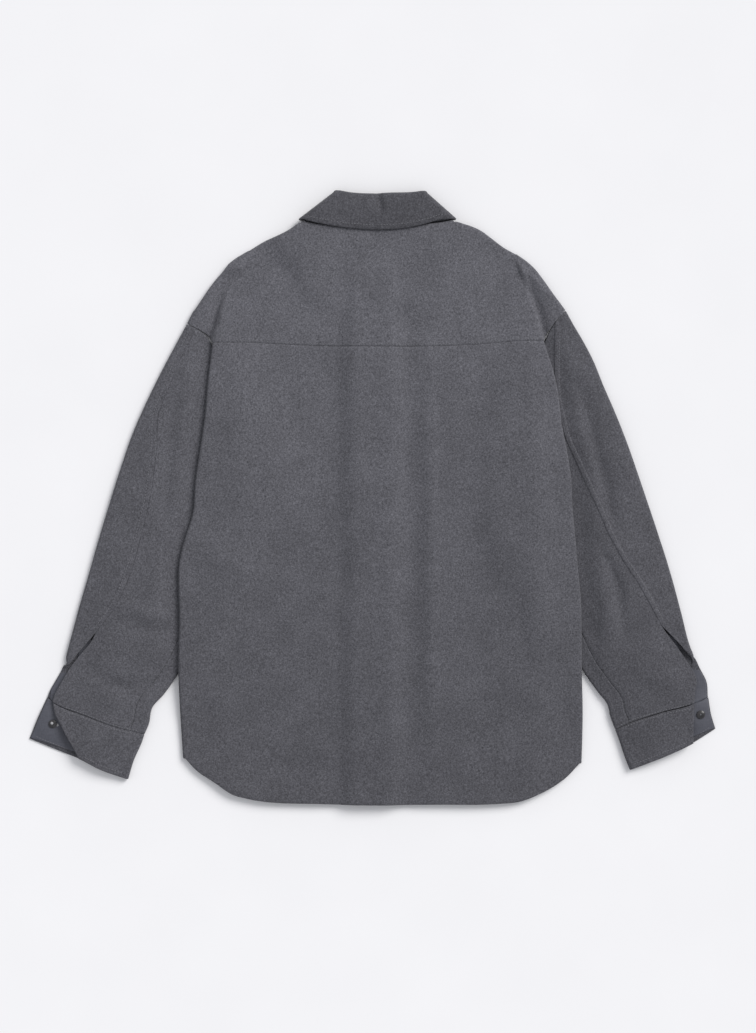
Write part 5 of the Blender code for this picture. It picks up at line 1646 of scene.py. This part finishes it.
def mark_backing(side, thread, pale):
    """The thread that shows behind the cuff's button: two knots of pale thread, whose paleness is a painted
    highlight, or a small dark cross.
    """
    table = SIDES[side]
    below = [f"cuff_facing_{side}", f"cuff_backing_{side}"]
    out, y = table["cuff_button"]
    for number, (across, down) in enumerate(BACKING_GLINT_KNOTS[side], 1):
        x, knot_y = (out + across) * table["sign"], y + down
        place = (x, knot_y, height_on(below, x, knot_y) - KNOT_SUNK)
        disc(f"backing_knot_{side}_{number}", place, KNOT_RADIUS, KNOT_THICK, pale)
    for number, (across, down) in enumerate(BACKING_CROSS[side], 1):
        ends = Curve([(out - across, y - down), (out, y), (out + across, y + down)])
        stitch_run(f"backing_cross_{side}_{number}", ends, below, thread)


def declare_cloth():
    """Goes over each cloth piece's cut and the rows sewn on it, without keeping anything."""
    for name, (width, length, area, held, below) in CUTS.items():
        rows = stitched.get(name, [])
        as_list(below)
        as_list(rows)


def floor():
    """The pale paper that the garment lies on."""
    mesh = bpy.data.meshes.new("floor")
    corners = [(FLOOR_HALF * x, FLOOR_HALF * y, 0) for x, y in ((-1, -1), (1, -1), (1, 1), (-1, 1))]
    mesh.from_pydata(corners, [], [(0, 1, 2, 3)])
    paper = grained("paper", MATT_FINISH, PLAIN, PAPER_SCALE, COARSE_DETAIL, PAPER_STOPS)
    mesh.materials.append(paper)
    obj = bpy.data.objects.new("floor", mesh)
    obj.location = (0, 0, -FLOOR_DROP)
    bpy.context.scene.collection.objects.link(obj)


def sun():
    """A broad soft light from the upper right, far off, so that the floor stays evenly pale."""
    data = bpy.data.lights.new("key", "SUN")
    data.angle = math.radians(SUN_ANGLE)
    data.energy = SUN_STRENGTH
    data.color = SUN_COLOUR
    obj = bpy.data.objects.new("key", data)
    obj.rotation_euler = (-Vector(SUN_FROM)).to_track_quat("-Z", "Y").to_euler()
    bpy.context.scene.collection.objects.link(obj)


def studio():
    """An even pale world, one soft sun and plain colours."""
    world = bpy.data.worlds.new("studio")
    bpy.context.scene.world = world
    world.use_nodes = True
    background = world.node_tree.nodes["Background"]
    background.inputs["Color"].default_value = WORLD_COLOUR
    background.inputs["Strength"].default_value = WORLD_STRENGTH
    sun()
    bpy.context.scene.view_settings.view_transform = "Standard"


def camera():
    """Straight above, framing the 756 by 1033 picture at 1.3 mm for each of its pixels."""
    data = bpy.data.cameras.new("above")
    data.sensor_fit = "VERTICAL"
    data.sensor_height = CAMERA_SENSOR
    data.lens = CAMERA_SENSOR * CAMERA_UP / (PICTURE_HIGH * MM)
    data.clip_end = CAMERA_REACH
    obj = bpy.data.objects.new("above", data)
    obj.location = (PICTURE_MIDDLE[0] * MM, PICTURE_MIDDLE[1] * MM, CAMERA_UP)
    bpy.context.scene.collection.objects.link(obj)
    bpy.context.scene.camera = obj


def main():
    """Makes the materials, the pieces, their stitches and the setting."""
    prepare()
    # Each cut's wool carries its painted shade
    wool = {name: wool_cloth(f"wool_{name}", painted_shades) for name, painted_shades in WOOL_PAINTED_SHADES.items()}
    facing_weave, resin = facing_cloth(), horn_plastic()
    # The pale thread paints a highlight on the cuff's knots
    thread, pale = thread_cotton("thread", THREAD_STOPS), thread_cotton("pale_thread", PALE_GLINT_STOPS)
    back_panel(wool["back"])
    back_yoke(wool["yoke"])
    front("front_left", LEFT, False, wool["back"])
    front("front_right", RIGHT, True, wool["back"])
    collar(wool["collar"])
    for side in SIDES:
        sleeve_top(side, wool[f"sleeve_{side}"])
        sleeve_under(side, wool[f"sleeve_{side}"])
        cuff(side, wool[f"sleeve_{side}"])
        cuff_facing(side, facing_weave)
        slit_facing(side, facing_weave)
        cuff_discs(side, resin)
    for k in range(BUTTONS):
        centre = (0, BUTTON_TOP_Y - k * BUTTON_PITCH, 0)
        disc(f"front_button_{k + 1}", centre, BUTTON_RADIUS, BUTTON_THICK, resin)
    sew(thread, pale)
    declare_cloth()
    floor()
    studio()
    camera()


main()
